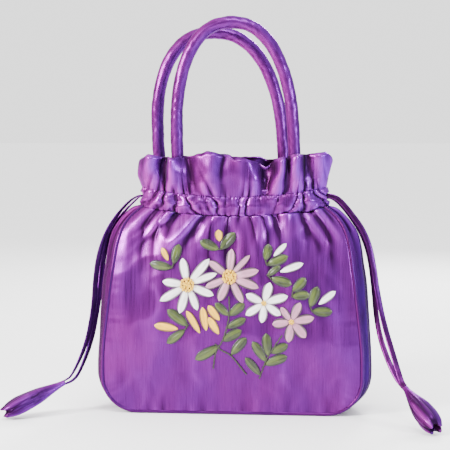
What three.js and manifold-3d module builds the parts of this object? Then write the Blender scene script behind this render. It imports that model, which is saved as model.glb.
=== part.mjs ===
// A satin reticule: a small drawstring handbag with two tube handles, a gathered neck and a spray
// of ribbon flowers on its front. It stands on its flat bottom. X runs to the right, Y to the back
// and Z up from the floor, all in millimetres.
import * as THREE from "three";
import { mergeVertices } from "three/addons/utils/BufferGeometryUtils.js";
import Module from "manifold-3d";

const wasm = await Module();
wasm.setup();

// Driving dimensions of the bag
const panelWidth = 215; // between the side seams of the front at the bottom
const bodyHeight = 172; // from the floor to the casing at its two ends
const bodyDepth = 56; // between the front and the back seam at the bottom
const cornerRadius = 29; // of the panels' two bottom corners
const panelCrown = 7; // how far a panel swells past its seams
const gussetSwell = 9; // how far the side strip swells past the seams
const clothWall = 1.2;
const pipingDiameter = 3;
const stitchGap = 0.3; // between sewn pieces

// Driving dimensions of the gathered neck
const neckWidth = 153;
const neckDepth = 43;
const neckSeamWidth = 148; // between the side seams where they reach the neck
const neckSeamDepth = 18; // between the front and the back seam there
const neckSag = 7.5; // how much lower the casing hangs at its middle than at its ends
const casingHeight = 15;
const casingPuff = 2.4; // how far the casing stands out over its cord
const casingPuckers = 24;
const ruffleHeight = 34; // mean height above the casing
const ruffleFold = 4.4; // depth of a full fold
const ruffleFlare = 2.6; // how far the ruffle leans out

// Driving dimensions of the handles, cords and tassels
const handleDiameter = 10.8;
const handleSeat = 1; // how far the feet reach below the casing's ends
const handleLeg = 55; // from a foot to where its leg starts to curve in
const frontHandleRise = 151; // from the casing's ends to the middle of the tube at the top
const frontHandleWidth = 97; // between the middles of the two legs
const backHandleRise = 144;
const backHandleWidth = 105;
const cordWidth = 4.6;
const cordThickness = 1.6;
const slotWidth = 13; // opening at each end of the casing that both strands come out of
const slotHeight = 7;
const slotDepth = 2.2;
const tasselWidth = 19;
const tasselThickness = 15;

// Driving dimensions of the embroidery
const ribbonWidth = 7;
const ribbonRise = 1; // height of a ribbon stitch's crease above its edges
const ribbonLift = 0.6; // clear of the cloth
const daisyReach = 24; // from the flower's centre to a petal's tip
const blossomReach = 17.5;
const daisyKnots = 6.2; // radius of the knotted centre
const blossomKnots = 3.4;
const knotHeight = 2.2;
const leafLength = 18;
const stemWidth = 1.3;
const stemHeight = 0.9;

const halfPanel = panelWidth / 2;
const pipingRadius = pipingDiameter / 2;
const seamInset = pipingRadius + stitchGap; // from the seam line to the edge of the cloth
const seamFloor = pipingRadius + stitchGap; // height of the bottom seam

// The body from the floor to the neck. drawn goes from 0 at full width to 1 at the neck's width,
// closed does the same for the depth, crown is a share of panelCrown, and swell of gussetSwell.
const bodySections = [
  { height: 0, drawn: 0, closed: 0, crown: 0, swell: 0.5 },
  { height: 0.17, drawn: 0, closed: 0, crown: 0.6, swell: 0.84 },
  { height: 0.29, drawn: 0.01, closed: 0, crown: 0.95, swell: 0.8 },
  { height: 0.385, drawn: 0.05, closed: 0.02, crown: 1, swell: 0.84 },
  { height: 0.56, drawn: 0.155, closed: 0.1, crown: 0.85, swell: 0.98 },
  { height: 0.64, drawn: 0.2, closed: 0.18, crown: 0.7, swell: 1.04 },
  { height: 0.72, drawn: 0.26, closed: 0.28, crown: 0.55, swell: 1 },
  { height: 0.79, drawn: 0.31, closed: 0.4, crown: 0.45, swell: 0.97 },
  { height: 0.85, drawn: 0.38, closed: 0.52, crown: 0.35, swell: 0.87 },
  { height: 0.905, drawn: 0.49, closed: 0.66, crown: 0.2, swell: 0.6 },
  { height: 0.95, drawn: 0.66, closed: 0.82, crown: 0.1, swell: 0.45 },
  { height: 0.98, drawn: 0.84, closed: 0.93, crown: 0, swell: 0.35 },
  { height: 1, drawn: 1, closed: 1, crown: 0, swell: 0.28 },
];

// Folds that run down from the neck. top and foot are places across the panel and up the body, as
// shares of half its width and of its height. out is a share of foldDepth, and wide of foldWidth.
const foldWidth = 8;
const foldDepth = 4;
const frontFolds = [
  { topX: -0.78, topZ: 0.97, footX: -0.86, footZ: 0.72, out: 0.5, wide: 0.8 },
  { topX: -0.36, topZ: 0.99, footX: -0.76, footZ: 0.78, out: -1.15, wide: 1.1 },
  { topX: -0.24, topZ: 0.97, footX: -0.68, footZ: 0.68, out: 0.7, wide: 0.8 },
  { topX: -0.02, topZ: 0.98, footX: -0.1, footZ: 0.86, out: 0.4, wide: 0.7 },
  { topX: 0.31, topZ: 0.99, footX: 0.33, footZ: 0.8, out: -1, wide: 0.7 },
  { topX: 0.41, topZ: 0.99, footX: 0.46, footZ: 0.74, out: 0.65, wide: 0.8 },
  { topX: 0.47, topZ: 1, footX: 0.84, footZ: 0.74, out: 0.65, wide: 0.8 },
  { topX: 0.59, topZ: 0.98, footX: 0.8, footZ: 0.8, out: -0.85, wide: 0.9 },
];
const backFolds = [
  { topX: -0.6, topZ: 0.98, footX: -0.8, footZ: 0.72, out: -0.85, wide: 1 },
  { topX: -0.45, topZ: 0.99, footX: -0.55, footZ: 0.66, out: 0.65, wide: 0.9 },
  { topX: -0.2, topZ: 0.98, footX: -0.28, footZ: 0.7, out: -0.8, wide: 0.9 },
  { topX: -0.02, topZ: 0.98, footX: -0.04, footZ: 0.72, out: 0.55, wide: 0.9 },
  { topX: 0.2, topZ: 0.98, footX: 0.3, footZ: 0.74, out: -0.85, wide: 0.9 },
  { topX: 0.42, topZ: 0.99, footX: 0.6, footZ: 0.68, out: 0.7, wide: 0.9 },
  { topX: 0.6, topZ: 0.98, footX: 0.82, footZ: 0.76, out: -0.75, wide: 0.9 },
];

// The ruffle's folds round the neck. at is the share of the ring from the middle of the front, to
// the right. out is a share of ruffleFold, and top of ruffleHeight.
const ruffleFolds = [
  { at: -0.5, out: 0.5, top: 0.94 },
  { at: -0.455, out: -0.7, top: 0.98 },
  { at: -0.415, out: 0.6, top: 0.93 },
  { at: -0.375, out: -0.4, top: 0.9 },
  { at: -0.335, out: 0.8, top: 0.93 },
  { at: -0.3, out: -0.4, top: 0.9 },
  { at: -0.25, out: 0.5, top: 0.78 },
  { at: -0.225, out: 0.2, top: 0.92 },
  { at: -0.2, out: 0.9, top: 1.02 },
  { at: -0.172, out: -0.5, top: 0.98 },
  { at: -0.145, out: 0.8, top: 0.96 },
  { at: -0.1, out: -0.7, top: 1 },
  { at: -0.055, out: 0.9, top: 1.1 },
  { at: -0.025, out: 0.2, top: 1.05 },
  { at: 0.02, out: 0.7, top: 0.93 },
  { at: 0.055, out: 0.3, top: 0.87 },
  { at: 0.08, out: -1, top: 0.72 },
  { at: 0.108, out: 0.9, top: 0.93 },
  { at: 0.13, out: -0.1, top: 0.97 },
  { at: 0.155, out: 0.9, top: 1.04 },
  { at: 0.19, out: -0.4, top: 1.05 },
  { at: 0.22, out: 0.7, top: 1.08 },
  { at: 0.25, out: -0.3, top: 0.8 },
  { at: 0.29, out: 0.7, top: 0.92 },
  { at: 0.33, out: -0.3, top: 0.96 },
  { at: 0.375, out: 0.8, top: 0.93 },
  { at: 0.415, out: -0.5, top: 0.9 },
  { at: 0.46, out: 0.6, top: 0.96 },
];

// Each handle stands inside the neck. middle is the place of its arch across the bag, lean is how
// far the top leans to one side, and side is -1 on the front and 1 on the back.
const handles = [
  { name: "front_handle", side: -1, width: frontHandleWidth, rise: frontHandleRise, middle: 3.5, lean: -5 },
  { name: "back_handle", side: 1, width: backHandleWidth, rise: backHandleRise, middle: -9, lean: -9 },
];
const handleArchPower = 2.3; // 2 is an ellipse, more is squarer
const handleRoom = 1.6; // between a leg and the ruffle's inward folds

// The four free strands of the drawstring, from the casing to the tassels. These points are chosen
// by hand: out of the casing's ends, over the shoulders and down beside the body. turn is
// how far the strip is turned about its path: 0 lies flat on the side strip, 90 faces the front.
const strands = [
  {
    name: "left_strand_front", turn: 0,
    points: [
      [-77.1, -3.4, 179.8], [-80.8, -3.4, 179.2], [-86.4, -3.8, 176], [-92.6, -4.6, 170],
      [-99, -6, 162], [-106, -8, 150], [-111, -9, 137], [-114.2, -10, 123], [-115.8, -12, 108],
      [-116.6, -14, 93], [-118, -17, 79], [-120.4, -20, 65], [-124, -23.2, 52], [-128, -27, 41.6],
      [-131.2, -30, 34.6], [-134.2, -32.5, 29.9], [-138.1, -35.1, 27.4],
    ],
  },
  {
    name: "left_strand_back", turn: 0,
    points: [
      [-77.1, 3.4, 179], [-80.8, 3.4, 178], [-85.8, 3.7, 173.6], [-92.2, 4, 167.2],
      [-99.4, 4, 158.2], [-105.8, 3.6, 147], [-109.6, 3, 136], [-111.9, 2, 123], [-113.2, -1, 108],
      [-114.4, -5, 93], [-115.8, -10, 79], [-117.6, -15.5, 65], [-120.6, -20.6, 51.5],
      [-124.6, -26, 39.4], [-128.4, -29.7, 31], [-132.6, -32.4, 26.8], [-137.1, -35.1, 25],
    ],
  },
  {
    name: "right_strand_front", turn: 90,
    points: [
      [77.1, -3.4, 179.8], [81, -3.4, 179.6], [86.4, -3.8, 177.6], [92.4, -4.8, 172],
      [99.4, -6, 163.4], [105.6, -7, 154.8], [110.7, -8.4, 144.8], [114.4, -10, 133],
      [116.8, -12.2, 120.5], [118.8, -15, 107], [121, -18.4, 95], [123.5, -22, 83],
      [126.3, -26.4, 72], [129.6, -31.4, 61], [133.2, -37.4, 49.5], [136, -43, 40.4],
      [138.5, -48, 33.2], [140.6, -51.8, 30.4],
    ],
  },
  {
    name: "right_strand_back", turn: 90,
    points: [
      [77.1, 3.4, 179.6], [81, 3.4, 179.2], [86.2, 3.7, 176], [92.2, 4, 169.8], [99.2, 4, 160.6],
      [105.8, 3.6, 150], [110.8, 3, 138], [114, 1.8, 125], [116, -1, 110], [117.4, -6, 97],
      [118.6, -12, 84], [120.4, -18, 72.6], [123, -24.4, 61.8], [126.8, -31.4, 51.4],
      [131.2, -38, 41.6], [135.4, -42.8, 34.6], [138.9, -46.6, 30.6], [141.3, -50.4, 28.5],
    ],
  },
];

// A tassel is a bud of folded satin, thin at its neck and open at its tip. neck and tip are the
// ends of its middle line, and its tip rests on the floor.
const tassels = [
  { name: "left_tassel", neck: [-138, -35.4, 26], tip: [-183, -63.5, 5] },
  { name: "right_tassel", neck: [141.2, -51.6, 29.2], tip: [163.5, -92.5, 4.8] },
];
// along is a share of the tassel's length and wide one of half its width. dish is a share of its
// length that the end is drawn in by, between the petals' points.
const tasselSections = [
  { along: 0, wide: 0.31, dish: 0 },
  { along: 0.06, wide: 0.34, dish: 0 },
  { along: 0.2, wide: 0.54, dish: 0 },
  { along: 0.4, wide: 0.84, dish: 0 },
  { along: 0.58, wide: 0.98, dish: 0 },
  { along: 0.74, wide: 1, dish: 0 },
  { along: 0.88, wide: 0.86, dish: 0.02 },
  { along: 1, wide: 0.6, dish: 0.07 },
  { along: 0.93, wide: 0.4, dish: 0.04 },
];
const tasselSides = 12;
const tasselPetals = 4;

// The four flowers. x and z are shares of half the panel's width and of the body's height. Each
// petal has its turn in degrees from the right, its reach as a share of the flower's, and its
// width as a share of ribbonWidth.
const flowers = [
  {
    name: "white_daisy", x: -0.332, z: 0.629, reach: daisyReach, knots: daisyKnots, color: "white",
    petals: [
      { turn: 102, reach: 0.92, width: 0.94 }, { turn: 50, reach: 1.15, width: 0.92 },
      { turn: 21, reach: 1.08, width: 0.8 }, { turn: -21, reach: 0.97, width: 0.92 },
      { turn: -68, reach: 0.94, width: 0.86 }, { turn: -105, reach: 1.02, width: 0.96 },
      { turn: -149, reach: 1.1, width: 0.92 }, { turn: 174, reach: 0.87, width: 0.92 },
    ],
  },
  {
    name: "lilac_daisy", x: -0.011, z: 0.668, reach: daisyReach, knots: daisyKnots, color: "lilac",
    petals: [
      { turn: 86, reach: 0.95, width: 0.9 }, { turn: 47, reach: 1.02, width: 0.64 },
      { turn: 13, reach: 1.03, width: 0.96 }, { turn: -20, reach: 1.07, width: 0.96 },
      { turn: -62, reach: 1, width: 0.86 }, { turn: -113, reach: 0.9, width: 0.96 },
      { turn: -156, reach: 0.9, width: 0.84 }, { turn: 144, reach: 0.89, width: 0.86 },
    ],
  },
  {
    name: "white_blossom", x: 0.253, z: 0.545, reach: blossomReach, knots: blossomKnots, color: "white",
    petals: [
      { turn: 74, reach: 1, width: 1 }, { turn: 17, reach: 1.17, width: 0.96 },
      { turn: -35, reach: 0.96, width: 0.9 }, { turn: -96, reach: 0.93, width: 0.86 },
      { turn: -146, reach: 1.02, width: 0.92 }, { turn: 154, reach: 0.93, width: 0.92 },
    ],
  },
  {
    name: "lilac_blossom", x: 0.462, z: 0.458, reach: blossomReach, knots: blossomKnots, color: "lilac",
    petals: [
      { turn: 66, reach: 0.98, width: 0.9 }, { turn: 10, reach: 1.07, width: 0.96 },
      { turn: -48, reach: 1, width: 1 }, { turn: -98, reach: 0.97, width: 0.96 },
      { turn: -172, reach: 0.9, width: 0.94 }, { turn: 126, reach: 0.84, width: 0.74 },
    ],
  },
];

// Single ribbon stitches: x and z as the flowers', turn in degrees, length as a share of
// leafLength and width of ribbonWidth.
const buds = [
  { name: "yellow_bud_1", x: -0.484, z: 0.742, turn: 118, length: 0.66, width: 0.64, color: "yellow" },
  { name: "yellow_bud_2", x: -0.09, z: 0.836, turn: 97, length: 0.52, width: 0.8, color: "yellow" },
  { name: "yellow_bud_3", x: -0.405, z: 0.417, turn: 172, length: 1.1, width: 0.9, color: "yellow" },
  { name: "yellow_bud_4", x: -0.235, z: 0.4, turn: 122, length: 1.18, width: 0.74, color: "yellow" },
  { name: "yellow_bud_5", x: -0.185, z: 0.412, turn: 100, length: 1.08, width: 0.84, color: "yellow" },
  { name: "yellow_bud_6", x: -0.09, z: 0.396, turn: 122, length: 0.9, width: 0.84, color: "yellow" },
  { name: "yellow_bud_7", x: -0.085, z: 0.462, turn: 128, length: 0.84, width: 0.84, color: "yellow" },
  { name: "white_bud_1", x: 0.325, z: 0.768, turn: 45, length: 0.8, width: 0.62, color: "white" },
  { name: "white_bud_2", x: 0.375, z: 0.694, turn: 20, length: 1.1, width: 0.8, color: "white" },
  { name: "white_bud_3", x: 0.668, z: 0.54, turn: 39, length: 0.96, width: 0.76, color: "white" },
];

// Sprigs of leaves joined by their stems. A stem is a line of places, as shares like x and z.
const sprigs = [
  {
    name: "leaf_sprig_1", stems: [[[-0.455, 0.706], [-0.44, 0.73]]],
    leaves: [
      { x: -0.453, z: 0.709, turn: 171, length: 1.06, width: 0.9 },
      { x: -0.442, z: 0.727, turn: 74, length: 0.93, width: 0.9 },
    ],
  },
  {
    name: "leaf_sprig_2", stems: [[[-0.1, 0.797], [-0.075, 0.797]]],
    leaves: [
      { x: -0.096, z: 0.797, turn: 156, length: 0.94, width: 0.96 },
      { x: -0.08, z: 0.797, turn: 50, length: 1, width: 1 },
    ],
  },
  {
    name: "leaf_sprig_3", stems: [[[0.26, 0.752], [0.275, 0.722]]],
    leaves: [
      { x: 0.262, z: 0.747, turn: 78, length: 0.76, width: 0.9 },
      { x: 0.272, z: 0.727, turn: 22, length: 1.04, width: 0.94 },
    ],
  },
  {
    name: "leaf_sprig_4", stems: [[[0.275, 0.68], [0.308, 0.658]]],
    leaves: [
      { x: 0.278, z: 0.674, turn: 38, length: 0.74, width: 0.7 },
      { x: 0.305, z: 0.663, turn: -16, length: 0.98, width: 0.96 },
    ],
  },
  {
    name: "leaf_sprig_5", stems: [[[0.471, 0.606], [0.464, 0.574]]],
    leaves: [
      { x: 0.47, z: 0.602, turn: 46, length: 0.84, width: 0.94 },
      { x: 0.465, z: 0.578, turn: 5, length: 0.8, width: 0.94 },
    ],
  },
  {
    name: "leaf_sprig_6", stems: [[[0.601, 0.532], [0.62, 0.504]]],
    leaves: [
      { x: 0.604, z: 0.528, turn: 71, length: 0.98, width: 1 },
      { x: 0.617, z: 0.508, turn: -2, length: 0.92, width: 0.96 },
    ],
  },
  {
    name: "leaf_sprig_7", stems: [[[-0.323, 0.438], [-0.356, 0.41]]],
    leaves: [
      { x: -0.328, z: 0.432, turn: 142, length: 1.2, width: 1 },
      { x: -0.352, z: 0.414, turn: -142, length: 1.04, width: 0.86 },
    ],
  },
  {
    name: "main_spray",
    stems: [
      [[-0.012, 0.575], [-0.012, 0.48], [-0.055, 0.374], [-0.109, 0.312], [-0.133, 0.229]],
      [[-0.118, 0.349], [-0.069, 0.319], [0.008, 0.29], [0.121, 0.201]],
    ],
    leaves: [
      { x: -0.014, z: 0.485, turn: 138, length: 0.84, width: 0.8 },
      { x: -0.01, z: 0.485, turn: 39, length: 0.88, width: 0.96 },
      { x: -0.03, z: 0.425, turn: 27, length: 0.98, width: 0.82 },
      { x: -0.062, z: 0.364, turn: 29, length: 1, width: 0.96 },
      { x: 0.006, z: 0.298, turn: 49, length: 1.04, width: 0.94 },
      { x: -0.083, z: 0.34, turn: -150, length: 1.3, width: 1 },
    ],
  },
  {
    name: "right_spray", stems: [[[0.392, 0.395], [0.281, 0.285], [0.219, 0.183]]],
    leaves: [
      { x: 0.288, z: 0.295, turn: 96, length: 1.04, width: 0.96 },
      { x: 0.27, z: 0.268, turn: 124, length: 1.1, width: 0.9 },
      { x: 0.305, z: 0.31, turn: 26, length: 0.88, width: 0.9 },
      { x: 0.262, z: 0.252, turn: 21, length: 1.1, width: 0.96 },
      { x: 0.226, z: 0.2, turn: 130, length: 1.06, width: 0.8 },
    ],
  },
];

// Colours and finishes
const cloth = { color: 0x8d4fa8, roughness: 0.38, metalness: 0.15 };
const finishes = {
  satin: cloth,
  trim: { ...cloth, color: 0x7d4397 },
  white: { color: 0xf0eeee, roughness: 0.5, metalness: 0 },
  lilac: { color: 0xcfa6bd, roughness: 0.5, metalness: 0 },
  yellow: { color: 0xecc86e, roughness: 0.5, metalness: 0 },
  green: { color: 0x6b7a38, roughness: 0.55, metalness: 0 },
};

const bag = new THREE.Group();
bag.name = "reticule";

function addPiece(name, geometry, finish) {
  const mesh = new THREE.Mesh(geometry, new THREE.MeshStandardMaterial(finishes[finish]));
  mesh.name = name;
  mesh.updateMatrixWorld(true);
  bag.add(mesh);
  return mesh;
}

// Closed solids from rows of points

// Six times the volume inside a list of triangles, which is negative where they face inwards.
function signedVolume(points, faces) {
  const cross = new THREE.Vector3();
  let sum = 0;
  for (const [a, b, c] of faces) sum += points[a].dot(cross.crossVectors(points[b], points[c]));
  return sum;
}

function solidGeometry(points, faces) {
  const outward = signedVolume(points, faces) > 0;
  const index = faces.flatMap(([a, b, c]) => (outward ? [a, b, c] : [a, c, b]));
  const geometry = new THREE.BufferGeometry().setFromPoints(points);
  geometry.setIndex(index);
  geometry.computeVertexNormals();
  return geometry;
}

function quad(a, b, c, d) {
  return [[a, b, c], [a, c, d]];
}

// A wall between two like grids of points, closed round their edges. A round one joins its last
// column to its first.
function wallGeometry(outer, inner, round) {
  const rows = outer.length;
  const columns = outer[0].length;
  const points = [...outer.flat(), ...inner.flat()];
  const out = (row, column) => row * columns + (column % columns);
  const into = (row, column) => rows * columns + out(row, column);
  const faces = [];
  const spans = round ? columns : columns - 1;
  for (let c = 0; c < spans; c++) {
    for (let r = 0; r < rows - 1; r++) {
      faces.push(...quad(out(r, c), out(r, c + 1), out(r + 1, c + 1), out(r + 1, c)));
      faces.push(...quad(into(r, c), into(r + 1, c), into(r + 1, c + 1), into(r, c + 1)));
    }
    faces.push(...quad(out(0, c), into(0, c), into(0, c + 1), out(0, c + 1)));
    faces.push(...quad(out(rows - 1, c), out(rows - 1, c + 1), into(rows - 1, c + 1), into(rows - 1, c)));
  }
  if (!round)
    for (let r = 0; r < rows - 1; r++) {
      faces.push(...quad(out(r, 0), out(r + 1, 0), into(r + 1, 0), into(r, 0)));
      const last = columns - 1;
      faces.push(...quad(out(r, last), into(r, last), into(r + 1, last), out(r + 1, last)));
    }
  return solidGeometry(points, faces);
}

// A solid through a chain of rings of points. A closed chain joins its last ring to its first, and
// an open one is capped at both ends.
function ringGeometry(rings, closed) {
  const sides = rings[0].length;
  const points = rings.flat();
  const at = (ring, side) => (ring % rings.length) * sides + (side % sides);
  const faces = [];
  const spans = closed ? rings.length : rings.length - 1;
  for (let r = 0; r < spans; r++)
    for (let s = 0; s < sides; s++)
      faces.push(...quad(at(r, s), at(r, s + 1), at(r + 1, s + 1), at(r + 1, s)));
  if (!closed)
    for (let s = 1; s < sides - 1; s++) {
      faces.push([at(0, 0), at(0, s + 1), at(0, s)]);
      const last = rings.length - 1;
      faces.push([at(last, 0), at(last, s), at(last, s + 1)]);
    }
  return solidGeometry(points, faces);
}

function toSolid(geometry) {
  const bare = geometry.clone();
  bare.deleteAttribute("normal");
  bare.deleteAttribute("uv");
  const merged = mergeVertices(bare, 1e-3);
  return new wasm.Manifold(
    new wasm.Mesh({
      numProp: 3,
      vertProperties: merged.attributes.position.array,
      triVerts: new Uint32Array(merged.index.array),
    }),
  );
}

function fromSolid(solid) {
  const mesh = solid.getMesh();
  const geometry = new THREE.BufferGeometry();
  geometry.setAttribute("position", new THREE.BufferAttribute(mesh.vertProperties.slice(), 3));
  geometry.setIndex(new THREE.BufferAttribute(mesh.triVerts.slice(), 1));
  geometry.computeVertexNormals();
  return geometry;
}

function joined(geometries) {
  return fromSolid(geometries.map(toSolid).reduce((whole, next) => whole.add(next)));
}

// Reading the tables

const mix = THREE.MathUtils.lerp;

// The value of a column at a place, on a smooth line through the table's rows.
function readTable(table, key, column, place) {
  const last = table.length - 1;
  let row = 0;
  while (row < last - 1 && place > table[row + 1][key]) row++;
  const slope = (i) => {
    const a = table[Math.max(i - 1, 0)];
    const b = table[Math.min(i + 1, last)];
    return (b[column] - a[column]) / (b[key] - a[key]);
  };
  const start = table[row];
  const end = table[row + 1];
  const span = end[key] - start[key];
  const t = THREE.MathUtils.clamp((place - start[key]) / span, 0, 1);
  const t2 = t * t;
  const t3 = t2 * t;
  return (
    (2 * t3 - 3 * t2 + 1) * start[column] +
    (t3 - 2 * t2 + t) * span * slope(row) +
    (3 * t2 - 2 * t3) * end[column] +
    (t3 - t2) * span * slope(row + 1)
  );
}

// The body's seams and surfaces

const bodyAt = (column, height) => readTable(bodySections, "height", column, height / bodyHeight);

const halfSeam = (height) => mix(halfPanel, neckSeamWidth / 2, bodyAt("drawn", height));

const seamDepth = (height) => mix(bodyDepth, neckSeamDepth, bodyAt("closed", height)) / 2;

const middleDepth = (height) =>
  mix(bodyDepth, neckDepth, bodyAt("closed", height)) / 2 + panelCrown * bodyAt("crown", height);

// The casing's lower edge hangs lower at the middle than at its ends.
const casingBase = (x) => bodyHeight - neckSag * (1 - (2 * x / neckWidth) ** 2);

// How far the folds of one panel stand out at a place on it.
function foldsAt(folds, x, z) {
  let sum = 0;
  for (const fold of folds) {
    const across = x / halfPanel;
    const along = (fold.topZ - z / bodyHeight) / (fold.topZ - fold.footZ);
    const t = THREE.MathUtils.clamp(along, 0, 1);
    const middle = mix(fold.topX, fold.footX, t);
    const width = (fold.wide * foldWidth * mix(0.7, 1.5, t)) / halfPanel;
    const fade = (1 - t) ** 1.2;
    sum += fold.out * foldDepth * fade * Math.exp(-(((across - middle) / width) ** 2));
  }
  return sum;
}

// Depth of a panel's middle surface at a place: x across and z up, as seen from that side.
function panelDepth(folds, x, z) {
  const halfWidth = halfSeam(z);
  const edge = seamDepth(z);
  const across = Math.min(Math.abs(x) / halfWidth, 1);
  const bulge = (middleDepth(z) - edge) * (1 - across ** 2.6);
  const nearSeam = Math.min(1, (1 - across) * 6);
  return edge + bulge + foldsAt(folds, x, z) * nearSeam;
}

// Stations along the right half of the seam, from the middle of the bottom to the neck. out is the
// direction away from the panel in the seam's own plane, and rise goes from 0 on the flat bottom
// to 1 on the side.
const bottomSteps = 4;
const cornerSteps = 5;
const sideHeights = [0.25, 0.36, 0.47, 0.57, 0.66, 0.74, 0.81, 0.87, 0.92, 0.96];

function seamStations() {
  const straight = halfPanel - cornerRadius;
  const stations = [];
  for (let i = 0; i < bottomSteps; i++)
    stations.push({ x: (straight * i) / bottomSteps, z: seamFloor, out: [0, -1], rise: 0 });
  for (let i = 0; i <= cornerSteps; i++) {
    const turn = ((i / cornerSteps) * Math.PI) / 2;
    stations.push({
      x: straight + cornerRadius * Math.sin(turn),
      z: seamFloor + cornerRadius * (1 - Math.cos(turn)),
      out: [Math.sin(turn), -Math.cos(turn)],
      rise: Math.sin(turn),
    });
  }
  const neckEnd = casingBase(neckSeamWidth / 2) - stitchGap;
  for (const height of [...sideHeights.map((share) => share * bodyHeight), neckEnd]) {
    const level = THREE.MathUtils.smoothstep(height / bodyHeight, 0.95, 1);
    const slope = (halfSeam(height + 0.5) - halfSeam(height - 0.5)) * (1 - level);
    const length = Math.hypot(slope, 1);
    stations.push({ x: halfSeam(height), z: height, out: [1 / length, -slope / length], rise: 1 });
  }
  return stations;
}

const rightStations = seamStations();
const allStations = [
  ...rightStations.slice(1).reverse().map((s) => ({ ...s, x: -s.x, out: [-s.out[0], s.out[1]] })),
  ...rightStations,
];
const stationDepth = (station) => seamDepth(Math.max(station.z, 0));

// The panels

function surfaceNormal(grid, row, column) {
  const rows = grid.length - 1;
  const columns = grid[0].length - 1;
  const across = grid[row][Math.min(column + 1, columns)].clone().sub(grid[row][Math.max(column - 1, 0)]);
  const up = grid[Math.min(row + 1, rows)][column].clone().sub(grid[Math.max(row - 1, 0)][column]);
  return across.cross(up).normalize();
}

function wallFromGrid(grid) {
  const shifted = (share) =>
    grid.map((line, row) =>
      line.map((point, column) =>
        point.clone().addScaledVector(surfaceNormal(grid, row, column), share * clothWall),
      ),
    );
  return wallGeometry(shifted(0.5), shifted(-0.5), false);
}

// side is -1 for the front and 1 for the back.
function panelGeometry(side, folds, columns) {
  const rows = rightStations.slice(bottomSteps);
  const highest = rows[rows.length - 1];
  const grid = rows.map((station) => {
    const halfWidth = station.x - seamInset * station.out[0];
    const height = station.z - seamInset * station.out[1];
    return Array.from({ length: columns + 1 }, (_, column) => {
      const share = (2 * column) / columns - 1;
      const x = share * halfWidth * -side;
      const sag = Math.max(casingBase(highest.x) - casingBase(x), 0);
      const z = height - sag * (height / highest.z) ** 6;
      return new THREE.Vector3(x, side * panelDepth(folds, x, z), z);
    });
  });
  return wallFromGrid(grid);
}

const frontPanel = addPiece("front_panel", panelGeometry(-1, frontFolds, 24), "satin");
addPiece("back_panel", panelGeometry(1, backFolds, 18), "satin");

// The side strip: one strip of cloth down the left side, under the bottom and up the right side

const gussetShares = [-1, -0.55, 0, 0.55, 1];
const gussetPleat = 1.4; // depth of its gathers near the neck

function gussetGeometry() {
  const flat = seamFloor - clothWall / 2; // from the seam down to the middle of the bottom's cloth
  const layer = (offset) =>
    allStations.map((station) => {
      const halfDepth = stationDepth(station) - seamInset;
      const swell = gussetSwell * bodyAt("swell", station.z);
      const gather = gussetPleat * THREE.MathUtils.smoothstep(station.z / bodyHeight, 0.7, 1);
      return gussetShares.map((share) => {
        const side = swell * (1 - share * share) - gather * Math.cos(share * Math.PI * 2) * (1 - share ** 4);
        const out = mix(flat, side, station.rise) + offset;
        return new THREE.Vector3(
          station.x + station.out[0] * out,
          share * halfDepth,
          station.z + station.out[1] * out,
        );
      });
    });
  return wallGeometry(layer(clothWall / 2), layer(-clothWall / 2), false);
}

addPiece("gusset", gussetGeometry(), "satin");

// The piping in the seams

const pipingSides = 6;

function pipingGeometry(side) {
  const rings = allStations.map((station) =>
    Array.from({ length: pipingSides }, (_, i) => {
      const turn = (i / pipingSides) * Math.PI * 2;
      const out = pipingRadius * Math.cos(turn);
      return new THREE.Vector3(
        station.x + station.out[0] * out,
        side * stationDepth(station) + pipingRadius * Math.sin(turn),
        station.z + station.out[1] * out,
      );
    }),
  );
  return ringGeometry(rings, false);
}

addPiece("front_piping", pipingGeometry(-1), "trim");
addPiece("back_piping", pipingGeometry(1), "trim");

// The neck: a flattened ring that the casing and the ruffle follow

const neckPower = 2.6; // 2 is an ellipse, more is squarer

// Points at even steps round the ring, from the middle of the back through the left side and the
// front, each with its outward direction and its share from -0.5 to 0.5.
function neckRing(count) {
  const dense = Array.from({ length: 1441 }, (_, i) => {
    const turn = (i / 1440) * Math.PI * 2 + Math.PI / 2;
    const c = Math.cos(turn);
    const s = Math.sin(turn);
    return new THREE.Vector2(
      (Math.sign(c) * Math.abs(c) ** (2 / neckPower) * neckWidth) / 2,
      (Math.sign(s) * Math.abs(s) ** (2 / neckPower) * neckDepth) / 2,
    );
  });
  const along = [0];
  for (let i = 1; i < dense.length; i++) along.push(along[i - 1] + dense[i].distanceTo(dense[i - 1]));
  const total = along[along.length - 1];
  return Array.from({ length: count }, (_, i) => {
    const place = (i / count) * total;
    let step = 1;
    while (along[step] < place) step++;
    const t = (place - along[step - 1]) / (along[step] - along[step - 1]);
    const point = dense[step - 1].clone().lerp(dense[step], t);
    const out = new THREE.Vector2(
      Math.sign(point.x) * Math.abs((2 * point.x) / neckWidth) ** (neckPower - 1) / neckWidth,
      Math.sign(point.y) * Math.abs((2 * point.y) / neckDepth) ** (neckPower - 1) / neckDepth,
    ).normalize();
    return { point, out, share: i / count - 0.5 };
  });
}

// The casing: a puckered band over the drawstring, with a slot for the two strands at each end

const casingTop = (x) => casingBase(x) + casingHeight;

// Each corner of the band's section, as shares of casingPuff outwards and of its height. puff says
// how much of the pucker it takes.
const casingSection = [
  { out: -0.5, up: 0, puff: 0 },
  { out: 0.35, up: 0, puff: 0 },
  { out: 1, up: 0.3, puff: 1 },
  { out: 0.95, up: 0.72, puff: 1 },
  { out: 0.35, up: 1, puff: 0 },
  { out: -0.5, up: 1, puff: 0 },
];
const puckerDepth = 0.7;

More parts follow.
